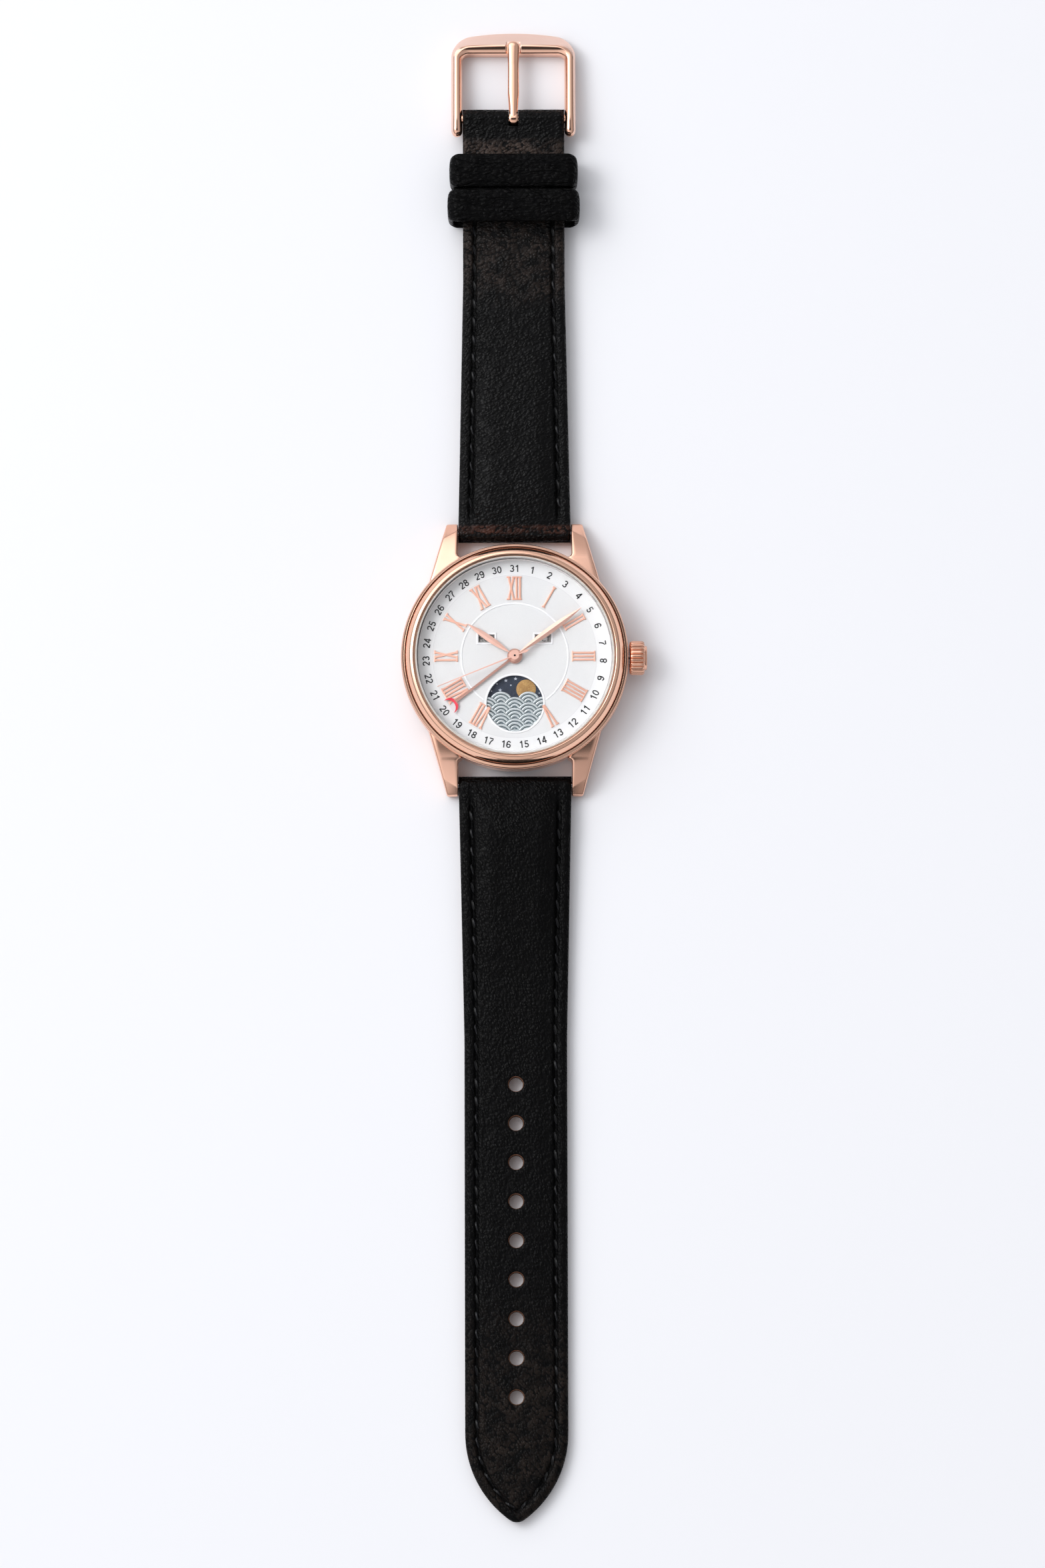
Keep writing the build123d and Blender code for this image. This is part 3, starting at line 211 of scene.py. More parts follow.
def turned_ring(outline, steps=180, centre=(0.0, 0.0), closed=True):
    """Each outline point (radius, height) carried round an upright axis: x = r cos a, y = r sin a, z =
    height. The outline is closed, or else it starts and ends on the axis."""
    angle = np.linspace(0, 2 * np.pi, steps, endpoint=False)
    radius, height = outline[:, 0][:, None], outline[:, 1][:, None]
    x = centre[0] + radius * np.cos(angle)
    y = centre[1] + radius * np.sin(angle)
    points = np.stack([x, y, np.broadcast_to(height, x.shape)], -1)
    return points.reshape(-1, 3), grid_quads(len(outline), steps, closed, True)


def soft_section(count, power):
    """Points of |u|^p + |v|^p = 1 round the origin: u = sign(cos a)|cos a|^(2/p), and v the same with sin."""
    angle = np.linspace(0, 2 * np.pi, count, endpoint=False) + np.pi / count
    share = 2 / power
    u = np.sign(np.cos(angle)) * np.abs(np.cos(angle)) ** share
    v = np.sign(np.sin(angle)) * np.abs(np.sin(angle)) ** share
    return u, v


def corner_arcs(half_x, half_y, radius, corner):
    """The four rounded corners of a rectangle round the origin, each as points at the given angles in its
    quarter."""
    arcs = []
    for sx, sy, turn in ((1, 1, 0), (-1, 1, np.pi / 2), (-1, -1, np.pi), (1, -1, 1.5 * np.pi)):
        x = sx * (half_x - radius) + radius * np.cos(corner + turn)
        y = sy * (half_y - radius) + radius * np.sin(corner + turn)
        arcs.append(np.column_stack([x, y]))
    return arcs


def capped_loft(points):
    """Quads of a stack of closed sections whose first and last have shrunk to a point."""
    return points.reshape(-1, 3), grid_quads(*points.shape[:2], False, True)


def closed_sheets(top, bottom, kept):
    """A shell from two grids of one shape: the kept quads of the top, those of the bottom, and a wall quad
    wherever a kept quad has no kept neighbour."""
    rows, columns = top.shape[:2]
    number = np.arange(rows * columns).reshape(rows, columns)
    below = rows * columns
    corners = [number[:-1, :-1], number[:-1, 1:], number[1:, 1:], number[1:, :-1]]
    upper = np.stack(corners, -1)[kept]
    lower = upper[:, ::-1] + below
    edge = np.pad(kept, 1)
    walls = []
    for one_side, other_side, a, b in (
        (edge[:-1, 1:-1], edge[1:, 1:-1], number[:, :-1], number[:, 1:]),
        (edge[1:-1, :-1], edge[1:-1, 1:], number[:-1], number[1:]),
    ):
        rim = one_side != other_side
        walls.append(np.stack([a[rim], b[rim], b[rim] + below, a[rim] + below], -1))
    points = np.concatenate([top.reshape(-1, 3), bottom.reshape(-1, 3)])
    return points, np.vstack([upper, lower, *walls])


def softened_copy(node, width, material):
    """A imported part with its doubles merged, its flat faces made whole and its edges eased."""
    source = nodes[node]
    mesh = source.data.copy()
    shell = bmesh.new()
    shell.from_mesh(mesh)
    bmesh.ops.remove_doubles(shell, verts=shell.verts, dist=2e-6)
    bmesh.ops.dissolve_limit(shell, angle_limit=math.radians(2), verts=shell.verts, edges=shell.edges)
    shell.to_mesh(mesh)
    shell.free()
    mesh.materials.clear()
    mesh.materials.append(material)
    piece = bpy.data.objects.new(f"{node}_polished", mesh)
    bpy.context.scene.collection.objects.link(piece)
    ease = piece.modifiers.new("eased_edges", "BEVEL")
    ease.width = width * MILLIMETRE
    ease.segments = 3
    ease.limit_method = "ANGLE"
    ease.angle_limit = math.radians(35)
    return place_piece(piece, source["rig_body"], [node])


# Node groups and materials


def shade(red, green, blue, alpha=1.0):
    """A colour as it is seen, 0 to 1, turned into the light values that shaders use."""
    seen = np.array([red, green, blue])
    light = np.where(seen <= 0.04045, seen / 12.92, ((seen + 0.055) / 1.055) ** 2.4)
    return (*light.tolist(), alpha)


def feed(tree, node, values):
    """Gives a node's inputs, by name or number, their links or plain values."""
    for key, value in values.items():
        if isinstance(value, bpy.types.NodeSocket):
            tree.links.new(value, node.inputs[key])
        else:
            node.inputs[key].default_value = value
    return node


def add_node(tree, kind, values=None, **settings):
    """A node with its settings, and what feeds its inputs."""
    node = tree.nodes.new(kind)
    for key, value in settings.items():
        setattr(node, key, value)
    return feed(tree, node, values or {})


def place_in_object(tree, turn=(0.0, 0.0, 0.0)):
    """The point on the watch, turned for a pattern."""
    source = add_node(tree, "ShaderNodeTexCoord")
    values = {"Vector": source.outputs["Object"], "Rotation": turn}
    return add_node(tree, "ShaderNodeMapping", values).outputs["Vector"]


def stretch_point(tree, point, scale):
    """A point with its axes stretched for a pattern."""
    return add_node(tree, "ShaderNodeMapping", {"Vector": point, "Scale": scale}).outputs["Vector"]


def noise(tree, point, scale, detail, distortion=0.0):
    """The value of a soft noise at a point, about 0.5 in the middle."""
    values = {"Vector": point, "Scale": scale, "Detail": detail, "Distortion": distortion}
    return add_node(tree, "ShaderNodeTexNoise", values).outputs["Fac"]


def ramp(tree, value, stops):
    """Colours or greys along a value, from (position, colour) stops."""
    node = add_node(tree, "ShaderNodeValToRGB", {"Fac": value})
    while len(node.color_ramp.elements) < len(stops):
        node.color_ramp.elements.new(0.5)
    for element, (position, colour) in zip(node.color_ramp.elements, stops):
        element.position = position
        element.color = colour if isinstance(colour, tuple) else (colour, colour, colour, 1)
    return node.outputs["Color"]


def scale_to(tree, value, from_low, from_high, to_low, to_high):
    """A value carried from one range to another and held inside it."""
    values = {
        "Value": value,
        "From Min": from_low,
        "From Max": from_high,
        "To Min": to_low,
        "To Max": to_high,
    }
    return add_node(tree, "ShaderNodeMapRange", values).outputs["Result"]


def mix_colours(tree, share, first, second):
    """Two colours mixed by a share or a mask."""
    return add_node(tree, "ShaderNodeMix", {0: share, 6: first, 7: second}, data_type="RGBA").outputs[2]


def calculate(tree, operation, first, second=0.0, third=0.0):
    """One step of arithmetic between values."""
    node = add_node(tree, "ShaderNodeMath", {0: first, 1: second, 2: third}, operation=operation)
    return node.outputs[0]


def product(tree, first, *others):
    """Several values multiplied."""
    for value in others:
        first = calculate(tree, "MULTIPLY", first, value)
    return first


def hypotenuse(tree, a, b):
    """sqrt(a^2 + b^2)"""
    return calculate(tree, "SQRT", calculate(tree, "MULTIPLY_ADD", a, a, product(tree, b, b)))


def between(tree, value, low, high, soft):
    """1 where a value lies between two limits, 0 outside them, and a soft step inside each."""
    enter = scale_to(tree, value, low, low + soft, 0.0, 1.0)
    leave = scale_to(tree, value, high - soft, high, 1.0, 0.0)
    return product(tree, enter, leave)


def split_point(tree, point):
    """A point's X, Y and Z."""
    return add_node(tree, "ShaderNodeSeparateXYZ", {"Vector": point}).outputs


def distance_from_axis(tree, point):
    """How far a point is from the watch's upright axis."""
    where = split_point(tree, point)
    return hypotenuse(tree, where["Y"], where["X"])


def new_group(name, inputs, outputs):
    """An empty node group with its named inputs, (name, kind, value), and outputs, (name, kind)."""
    group = bpy.data.node_groups.new(name, "ShaderNodeTree")
    for socket, kind, value in inputs:
        made = group.interface.new_socket(socket, in_out="INPUT", socket_type=f"NodeSocket{kind}")
        made.default_value = value
    for socket, kind in outputs:
        group.interface.new_socket(socket, in_out="OUTPUT", socket_type=f"NodeSocket{kind}")
    start = group.nodes.new("NodeGroupInput")
    end = group.nodes.new("NodeGroupOutput")
    return group, start.outputs, end.inputs


def make_leather_grain():
    """Round pebbles 1 - (d / 0.74)^2, where d is the distance to a cell's middle, uneven in size and depth
    over soft swells, less wrinkles where a stretched noise crosses its middle value."""
    inputs = [
        ("Point", "Vector", (0, 0, 0)),
        ("Stretch", "Vector", (1, 1, 1)),
        ("Pebbles", "Float", 1500.0),
        ("Wrinkles", "Float", 0.3),
    ]
    outputs = [("Height", "Float"), ("Crease", "Float"), ("Mottle", "Float")]
    group, given, result = new_group("leather_grain", inputs, outputs)
    shift = add_node(group, "ShaderNodeTexNoise", {"Vector": given["Point"], "Scale": 900.0, "Detail": 2.0})
    bend = {0: 0.0007, 4: given["Point"], 5: shift.outputs["Color"]}
    bent = add_node(group, "ShaderNodeMix", bend, data_type="VECTOR").outputs[1]
    drawn = stretch_point(group, bent, given["Stretch"])
    cell = {"Vector": drawn, "Scale": given["Pebbles"], "Smoothness": 0.12}
    middle = add_node(group, "ShaderNodeTexVoronoi", cell, feature="SMOOTH_F1").outputs["Distance"]
    depth = noise(group, given["Point"], 520.0, 2.0)
    uneven = scale_to(group, depth, 0.34, 0.62, 0.4, 1.0)
    share = calculate(group, "MULTIPLY", middle, 1 / 0.74)
    dome = calculate(group, "SUBTRACT", 1.0, calculate(group, "MULTIPLY", share, share))
    dome = calculate(group, "MAXIMUM", dome, 0.0)
    pebble = calculate(group, "MULTIPLY_ADD", dome, uneven, calculate(group, "MULTIPLY", depth, 0.9))
    wander = noise(group, stretch_point(group, given["Point"], (0.3, 1.0, 0.6)), 520.0, 2.5, 0.5)
    off_middle = calculate(group, "ABSOLUTE", calculate(group, "SUBTRACT", wander, 0.5))
    wrinkle = scale_to(group, off_middle, 0.0, 0.035, 1.0, 0.0)
    fine_scale = calculate(group, "MULTIPLY", given["Pebbles"], 3.0)
    fine = noise(group, given["Point"], fine_scale, 2.0)
    raised = calculate(group, "MULTIPLY_ADD", fine, 0.22, pebble)
    lines = calculate(group, "MULTIPLY", wrinkle, given["Wrinkles"])
    group.links.new(calculate(group, "SUBTRACT", raised, lines), result["Height"])
    crease = scale_to(group, dome, 0.05, 0.5, 1.0, 0.0)
    group.links.new(calculate(group, "MAXIMUM", crease, lines), result["Crease"])
    group.links.new(noise(group, given["Point"], 430.0, 3.0), result["Mottle"])
    return group


def make_fine_wear():
    """Hairlines and smears that a polished face picks up, as a roughness change and a slight height."""
    inputs = [("Point", "Vector", (0, 0, 0)), ("Amount", "Float", 0.1)]
    group, given, result = new_group("fine_wear", inputs, [("Roughness", "Float"), ("Height", "Float")])
    smear = noise(group, given["Point"], 420.0, 4.0)
    hairline = noise(group, stretch_point(group, given["Point"], (1.0, 14.0, 3.0)), 900.0, 2.0)
    both = calculate(group, "MULTIPLY", smear, hairline)
    group.links.new(calculate(group, "MULTIPLY", both, given["Amount"]), result["Roughness"])
    group.links.new(hairline, result["Height"])
    return group


def make_brushing():
    """Straight brushed lines that run along X, as a height and a change of roughness."""
    inputs = [("Point", "Vector", (0, 0, 0)), ("Lines", "Float", 9000.0)]
    group, given, result = new_group("brushing", inputs, [("Height", "Float"), ("Roughness", "Float")])
    lines = noise(group, stretch_point(group, given["Point"], (0.012, 1.0, 1.0)), given["Lines"], 2.0)
    group.links.new(lines, result["Height"])
    group.links.new(scale_to(group, lines, 0.3, 0.7, -0.06, 0.08), result["Roughness"])
    return group


leather_grain = make_leather_grain()
fine_wear = make_fine_wear()
brushing = make_brushing()


def start_material(name, **sockets):
    """A material with its shader's plain sockets set."""
    material = bpy.data.materials.new(name)
    material.use_nodes = True
    shader = material.node_tree.nodes["Principled BSDF"]
    for key, value in sockets.items():
        shader.inputs[key.replace("_", " ")].default_value = value
    return material, material.node_tree, shader


def use_group(tree, group, **values):
    """A node group in a material, with its own values or links."""
    node = tree.nodes.new("ShaderNodeGroup")
    node.node_tree = group
    return feed(tree, node, values).outputs


def raise_surface(tree, shader, height, distance, strength=1.0):
    """A bump of so many metres that feeds the shader's normal."""
    bump = add_node(tree, "ShaderNodeBump", {"Height": height, "Distance": distance, "Strength": strength})
    tree.links.new(bump.outputs["Normal"], shader.inputs["Normal"])


def polished_metal(name, colour, deep_colour, roughness, wear=0.12):
    """Plated metal: a colour that drifts slightly, hairlines, and a roughness that they change."""
    material, tree, shader = start_material(name, Metallic=1.0)
    point = place_in_object(tree)
    share = scale_to(tree, noise(tree, point, 130.0, 3.0), 0.35, 0.65, 0.0, 1.0)
    tint = mix_colours(tree, share, shade(*colour), shade(*deep_colour))
    worn = use_group(tree, fine_wear, Point=point, Amount=wear)
    rough = calculate(tree, "ADD", worn["Roughness"], roughness)
    feed(tree, shader, {"Base Color": tint, "Roughness": rough})
    raise_surface(tree, shader, worn["Height"], 2e-6, 0.4)
    return material


def bezel_finish():
    """Polished plating with painted shade in its groove, where the distance from the axis passes it."""
    material, tree, shader = start_material("bezel_metal")
    point = place_in_object(tree)
    low = scale_to(tree, split_point(tree, point)["Z"], 0.00668, 0.00674, 1.0, 0.0)
    groove = product(tree, low, between(tree, distance_from_axis(tree, point), 0.01728, 0.01748, 5e-5))
    drift = noise(tree, point, 130.0, 3.0)
    plate = mix_colours(tree, drift, shade(0.98, 0.79, 0.69), shade(0.95, 0.75, 0.64))
    # Painted shade: the groove's recess is coloured dark brown and made rougher and less metallic.
    tint = mix_colours(tree, groove, plate, shade(0.3, 0.17, 0.12))
    worn = use_group(tree, fine_wear, Point=point, Amount=0.12)
    rough = calculate(tree, "MULTIPLY_ADD", groove, 0.4, calculate(tree, "ADD", worn["Roughness"], 0.1))
    metallic = calculate(tree, "SUBTRACT", 1.0, groove)
    feed(tree, shader, {"Base Color": tint, "Metallic": metallic, "Roughness": rough})
    raise_surface(tree, shader, worn["Height"], 2e-6, 0.4)
    return material


def brushed_metal(name, colour, roughness, lines=9000.0, turn=(0.0, 0.0, 0.0)):
    """Metal with straight brushed lines."""
    material, tree, shader = start_material(name, Metallic=1.0)
    drawn = use_group(tree, brushing, Point=place_in_object(tree, turn), Lines=lines)
    tint = mix_colours(tree, drawn["Height"], shade(*colour), shade(*(0.86 * c for c in colour)))
    rough = calculate(tree, "ADD", drawn["Roughness"], roughness)
    feed(tree, shader, {"Base Color": tint, "Roughness": rough})
    raise_surface(tree, shader, drawn["Height"], 8e-6, 0.5)
    return material


def buckle_metal_finish():
    """Polished inside a line that keeps 1.4 mm from the inner edge, and satin outside it: the line is where
    hypot(max(|x| - x0, 0), max(y - y0, 0)) passes r, round the inner corners' middles."""
    material, tree, shader = start_material("buckle_metal", Metallic=1.0)
    point = place_in_object(tree)
    where = split_point(tree, point)
    beside = calculate(tree, "ABSOLUTE", where["X"])
    beside = calculate(tree, "SUBTRACT", beside, (arm_inner - inner_corner) * MILLIMETRE)
    beside = calculate(tree, "MAXIMUM", beside, 0.0)
    beyond = calculate(tree, "SUBTRACT", where["Y"], (bar_inner - inner_corner) * MILLIMETRE)
    beyond = calculate(tree, "MAXIMUM", beyond, 0.0)
    line = (inner_corner + 1.42) * MILLIMETRE
    satin = scale_to(tree, hypotenuse(tree, beyond, beside), line, line + 6e-5, 0.0, 1.0)
    drawn = use_group(tree, brushing, Point=point, Lines=7000.0)
    worn = use_group(tree, fine_wear, Point=point, Amount=0.12)
    polished = calculate(tree, "ADD", worn["Roughness"], 0.08)
    matte = calculate(tree, "ADD", drawn["Roughness"], 0.42)
    rough = add_node(tree, "ShaderNodeMix", {0: satin, 2: polished, 3: matte}, data_type="FLOAT").outputs[0]
    # The satin part is painted paler: its satin finish and a painted highlight of the slope facing the light.
    tint = mix_colours(tree, satin, shade(0.985, 0.785, 0.685), shade(0.98, 0.85, 0.79))
    feed(tree, shader, {"Base Color": tint, "Roughness": rough})
    raise_surface(tree, shader, product(tree, drawn["Height"], satin), 6e-6, 0.4)
    return material


def hole_wall_mask(tree, where):
    """1 on the walls of the strap's holes: the distance to the nearest hole in the row along Y is about r
    there. The 12 whole turns keep the row's number above zero."""
    pitch = hole_pitch * MILLIMETRE
    row = calculate(tree, "MULTIPLY_ADD", where["Y"], -1 / pitch, 0.5 - first_hole / hole_pitch + 12.0)
    along = product(tree, calculate(tree, "SUBTRACT", calculate(tree, "FRACT", row), 0.5), pitch)
    reach = hypotenuse(tree, along, where["X"])
    wall = scale_to(tree, reach, (hole_r + 0.01) * MILLIMETRE, (hole_r + 0.04) * MILLIMETRE, 1.0, 0.0)
    from_first = calculate(tree, "LESS_THAN", where["Y"], (2.0 - first_hole) * MILLIMETRE)
    to_last = calculate(tree, "GREATER_THAN", where["Y"], -(last_hole + 1.8) * MILLIMETRE)
    return product(tree, wall, from_first, to_last)


def strap_leather_finish(name, shine, pebbles, wrinkles, bump, turn, stretch, worn=()):
    """Near-black pebbled leather. Each worn band, (low, high, colour) along Y in metres, shows brown in
    patches on the pebbles' tops, painted shade darkens the creases and the sunk stitch line to near black,
    and the holes' walls show the raw brown edge."""
    material, tree, shader = start_material(name, Specular_IOR_Level=shine)
    where = split_point(tree, place_in_object(tree))
    turned = place_in_object(tree, (0.0, 0.0, turn))
    grain = use_group(tree, leather_grain, Point=turned, Stretch=stretch, Pebbles=pebbles, Wrinkles=wrinkles)
    skin = mix_colours(tree, grain["Mottle"], shade(0.0125, 0.0125, 0.0155), shade(0.038, 0.0345, 0.034))
    patch = scale_to(tree, grain["Mottle"], 0.34, 0.72, 0.0, 1.0)
    for low, high, colour in worn:
        share = product(tree, patch, between(tree, where["Y"], low, high, 0.25 * (high - low)))
        skin = mix_colours(tree, share, skin, shade(*colour))
    channel = add_node(tree, "ShaderNodeAttribute", attribute_name="stitch_channel").outputs["Fac"]
    hollow = calculate(tree, "MAXIMUM", grain["Crease"], channel)
    # Painted shade: the creases and the sunk stitch line are mixed to near black.
    shaded_hollows = mix_colours(tree, hollow, skin, shade(0.008, 0.008, 0.01))
    tint = mix_colours(tree, hole_wall_mask(tree, where), shaded_hollows, shade(0.5, 0.34, 0.26))
    gloss = scale_to(tree, hollow, 0.0, 1.0, 0.27, 0.6)
    gloss = calculate(tree, "MULTIPLY_ADD", grain["Mottle"], 0.2, calculate(tree, "SUBTRACT", gloss, 0.1))
    feed(tree, shader, {"Base Color": tint, "Roughness": gloss})
    raise_surface(tree, shader, grain["Height"], bump)
    return material


def lining_leather_finish():
    """The paler calf lining, with fine pores and painted shade in its creases."""
    material, tree, shader = start_material("lining_leather", Specular_IOR_Level=0.3)
    grain = use_group(tree, leather_grain, Point=place_in_object(tree), Pebbles=2600.0, Wrinkles=0.05)
    tone = scale_to(tree, grain["Mottle"], 0.35, 0.65, 0.0, 1.0)
    skin = mix_colours(tree, tone, shade(0.5, 0.42, 0.36), shade(0.42, 0.34, 0.28))
    # Painted shade: the creases are mixed to a darker brown.
    dark = mix_colours(tree, grain["Crease"], skin, shade(0.36, 0.29, 0.24))
    rough = scale_to(tree, grain["Mottle"], 0.3, 0.7, 0.6, 0.75)
    feed(tree, shader, {"Base Color": dark, "Roughness": rough})
    raise_surface(tree, shader, grain["Height"], 2e-5, 0.6)
    return material


def thread_finish():
    """Black waxed thread with painted grey highlights on the crests of its twist."""
    material, tree, shader = start_material("strap_thread", Specular_IOR_Level=0.25)
    wave = {"Vector": place_in_object(tree, (0.0, 0.0, 0.6)), "Scale": 700.0, "Distortion": 1.5}
    ply = add_node(tree, "ShaderNodeTexWave", wave, bands_direction="DIAGONAL").outputs["Fac"]
    crest = scale_to(tree, ply, 0.82, 1.0, 0.0, 1.0)
    # Painted highlight: the ply's crests are coloured grey, the rest near black.
    tint = mix_colours(tree, crest, shade(0.018, 0.018, 0.022), shade(0.14, 0.14, 0.155))
    feed(tree, shader, {"Base Color": tint, "Roughness": scale_to(tree, ply, 0.0, 1.0, 0.55, 0.3)})
    raise_surface(tree, shader, ply, 7e-5, 0.9)
    return material


def painted_finish(name, colour, other, roughness, scale=900.0, bump=0.0):
    """Lacquer, print, plastic or rubber: a colour with a faint change of tone and a fine surface."""
    material, tree, shader = start_material(name)
    speck = noise(tree, place_in_object(tree), scale, 4.0)
    tint = mix_colours(tree, scale_to(tree, speck, 0.35, 0.65, 0.0, 1.0), shade(*colour), shade(*other))
    rough = scale_to(tree, speck, 0.3, 0.7, roughness - 0.05, roughness + 0.05)
    feed(tree, shader, {"Base Color": tint, "Roughness": rough})
    if bump:
        raise_surface(tree, shader, speck, bump, 0.5)
    return material


def dial_lacquer_finish():
    """White lacquer: a smooth middle, a thin line where the date ring starts, and a finer grain on that
    ring."""
    material, tree, shader = start_material("dial_white", Coat_Weight=0.25, Coat_Roughness=0.12)
    point = place_in_object(tree)
    reach = distance_from_axis(tree, point)
    ring = calculate(tree, "GREATER_THAN", reach, 0.01302)
    past_line = calculate(tree, "GREATER_THAN", reach, 0.01294)
    line = product(tree, past_line, calculate(tree, "SUBTRACT", 1.0, ring))
    grain = noise(tree, point, 5200.0, 2.0)
    tone = mix_colours(tree, ring, shade(0.85, 0.848, 0.842), shade(0.875, 0.873, 0.867))
    speckled = mix_colours(tree, scale_to(tree, grain, 0.3, 0.7, 0.0, 0.06), tone, shade(0.7, 0.7, 0.7))
    tint = mix_colours(tree, line, speckled, shade(0.82, 0.815, 0.815))
    feed(tree, shader, {"Base Color": tint, "Roughness": scale_to(tree, ring, 0.0, 1.0, 0.35, 0.5)})
    raise_surface(tree, shader, product(tree, grain, ring), 6e-6, 0.4)
    return material


def date_hand_finish():
    """The hand's plating, with red lacquer on the crescent at its end."""
    material, tree, shader = start_material("date_hand_metal")
    point = place_in_object(tree)
    red = scale_to(tree, distance_from_axis(tree, point), 0.01178, 0.01186, 0.0, 1.0)
    drift = noise(tree, point, 2500.0, 2.0)
    plate = mix_colours(tree, drift, shade(0.84, 0.67, 0.61), shade(0.79, 0.6, 0.54))
    tint = mix_colours(tree, red, plate, shade(0.86, 0.2, 0.27))
    metallic = calculate(tree, "SUBTRACT", 1.0, red)
    rough = scale_to(tree, red, 0.0, 1.0, 0.28, 0.4)
    feed(tree, shader, {"Base Color": tint, "Metallic": metallic, "Roughness": rough})
    return material


def moon_finish():
    """The moon's golden face, speckled like powdered metal."""
    material, tree, shader = start_material("moon_gold", Metallic=0.55)
    point = place_in_object(tree)
    speck = noise(tree, point, 14000.0, 3.0)
    stops = [(0.34, shade(0.56, 0.43, 0.24)), (0.52, shade(0.71, 0.56, 0.34)), (0.68, shade(0.84, 0.7, 0.47))]
    shadow = scale_to(tree, noise(tree, point, 1300.0, 3.0), 0.35, 0.65, 0.0, 0.45)
    tint = mix_colours(tree, shadow, ramp(tree, speck, stops), shade(0.5, 0.33, 0.18))
    feed(tree, shader, {"Base Color": tint, "Roughness": scale_to(tree, speck, 0.3, 0.7, 0.3, 0.6)})
    raise_surface(tree, shader, speck, 2e-5, 0.8)
    return material


def wave_silver_finish():
    """Silvered relief: crests painted pale as a highlight and smoother, and the ground between them
    painted darker as shade and matt, told apart by their height."""
    material, tree, shader = start_material("wave_silver", Metallic=0.75)
    point = place_in_object(tree)
    crest = scale_to(tree, split_point(tree, point)["Z"], 0.00512, 0.00528, 0.0, 1.0)
    speck = noise(tree, point, 5000.0, 3.0)
    pale = mix_colours(tree, speck, shade(0.86, 0.88, 0.88), shade(0.78, 0.81, 0.81))
    # Painted highlight on the crests and painted shade in the ground between them, chosen by height.
    tint = mix_colours(tree, crest, shade(0.46, 0.51, 0.53), pale)
    feed(tree, shader, {"Base Color": tint, "Roughness": scale_to(tree, crest, 0.0, 1.0, 0.55, 0.24)})
    raise_surface(tree, shader, speck, 4e-6, 0.4)
    return material


def crystal_finish():
    """Coated glass that hardly shines, frosted at its ground rim, which lets the lamps' light through."""
    material, tree, shader = start_material("crystal_glass", IOR=1.2, Transmission_Weight=1.0, Metallic=0.0)
    point = place_in_object(tree)
    smear = noise(tree, point, 90.0, 3.0)
    clear_face = scale_to(tree, smear, 0.45, 0.8, 0.0, 0.02)
    ground = scale_to(tree, distance_from_axis(tree, point), 0.0153, 0.01534, 0.0, 0.6)
    tint = mix_colours(tree, smear, shade(1.0, 1.0, 1.0), shade(0.985, 0.99, 1.0))
    rough = calculate(tree, "MAXIMUM", clear_face, ground)
    feed(tree, shader, {"Base Color": tint, "Roughness": rough})
    path = add_node(tree, "ShaderNodeLightPath")
    clear = add_node(tree, "ShaderNodeBsdfTransparent")
    values = {0: path.outputs["Is Shadow Ray"], 1: shader.outputs[0], 2: clear.outputs[0]}
    blend = add_node(tree, "ShaderNodeMixShader", values)
    feed(tree, tree.nodes["Material Output"], {"Surface": blend.outputs[0]})
    return material


case_metal = polished_metal("case_metal", (0.985, 0.785, 0.69), (0.95, 0.74, 0.64), 0.14)
bezel_metal = bezel_finish()
crown_metal = polished_metal("crown_metal", (0.94, 0.74, 0.64), (0.9, 0.68, 0.58), 0.16)
hand_metal = polished_metal("hand_metal", (0.92, 0.745, 0.68), (0.89, 0.71, 0.64), 0.42, 0.1)
blued_steel = polished_metal("blued_steel", (0.12, 0.11, 0.12), (0.08, 0.08, 0.1), 0.4)
numeral_metal = polished_metal("numeral_metal", (0.97, 0.77, 0.685), (0.93, 0.71, 0.62), 0.34)
tongue_metal = polished_metal("tongue_metal", (0.985, 0.785, 0.685), (0.96, 0.75, 0.64), 0.1)
bar_steel = polished_metal("bar_steel", (0.74, 0.74, 0.75), (0.66, 0.66, 0.68), 0.24)
back_steel = brushed_metal("back_steel", (0.72, 0.71, 0.71), 0.3)
movement_steel = brushed_metal("movement_steel", (0.72, 0.72, 0.73), 0.28, 6000.0)
movement_brass = brushed_metal("movement_brass", (0.82, 0.68, 0.42), 0.28, 6000.0)
coil_copper = brushed_metal("coil_copper", (0.78, 0.42, 0.26), 0.34, 12000.0, (0.0, 0.0, math.pi / 2))
wave_silver = wave_silver_finish()
buckle_metal = buckle_metal_finish()
short_leather = strap_leather_finish(
    "short_strap_leather", 0.12, 2300.0, 0.3, 1.4e-4, -0.3, (0.8, 1.0, 0.8),
    worn=[
        (0.0198, 0.0215, (0.28, 0.17, 0.135)),
        (0.0792, 0.084, (0.3, 0.25, 0.225)),
        (0.056, 0.075, (0.17, 0.14, 0.125)),
    ],
)
long_leather = strap_leather_finish(
    "long_strap_leather", 0.075, 2800.0, 0.1, 1.1e-4, 0.99, (0.62, 1.0, 0.8),
    worn=[(-0.16, -0.1, (0.14, 0.115, 0.1))],
)
keeper_leather = strap_leather_finish("keeper_leather", 0.055, 2300.0, 0.9, 1.3e-4, 0.1, (0.5, 1.0, 0.7))
lining_leather = lining_leather_finish()
thread = thread_finish()
dial_white = dial_lacquer_finish()
flange_white = painted_finish("flange_white", (0.9, 0.88, 0.87), (0.86, 0.84, 0.83), 0.6)
calendar_black = painted_finish("calendar_black", (0.02, 0.02, 0.02), (0.04, 0.04, 0.04), 0.6, 4000.0)
print_black = painted_finish("print_black", (0.09, 0.09, 0.095), (0.14, 0.14, 0.145), 0.6, 4000.0)
trim_white = painted_finish("trim_white", (0.94, 0.94, 0.945), (0.91, 0.91, 0.915), 0.45, 700.0)
star_white = painted_finish("star_white", (0.78, 0.8, 0.83), (0.68, 0.7, 0.74), 0.4, 5000.0)
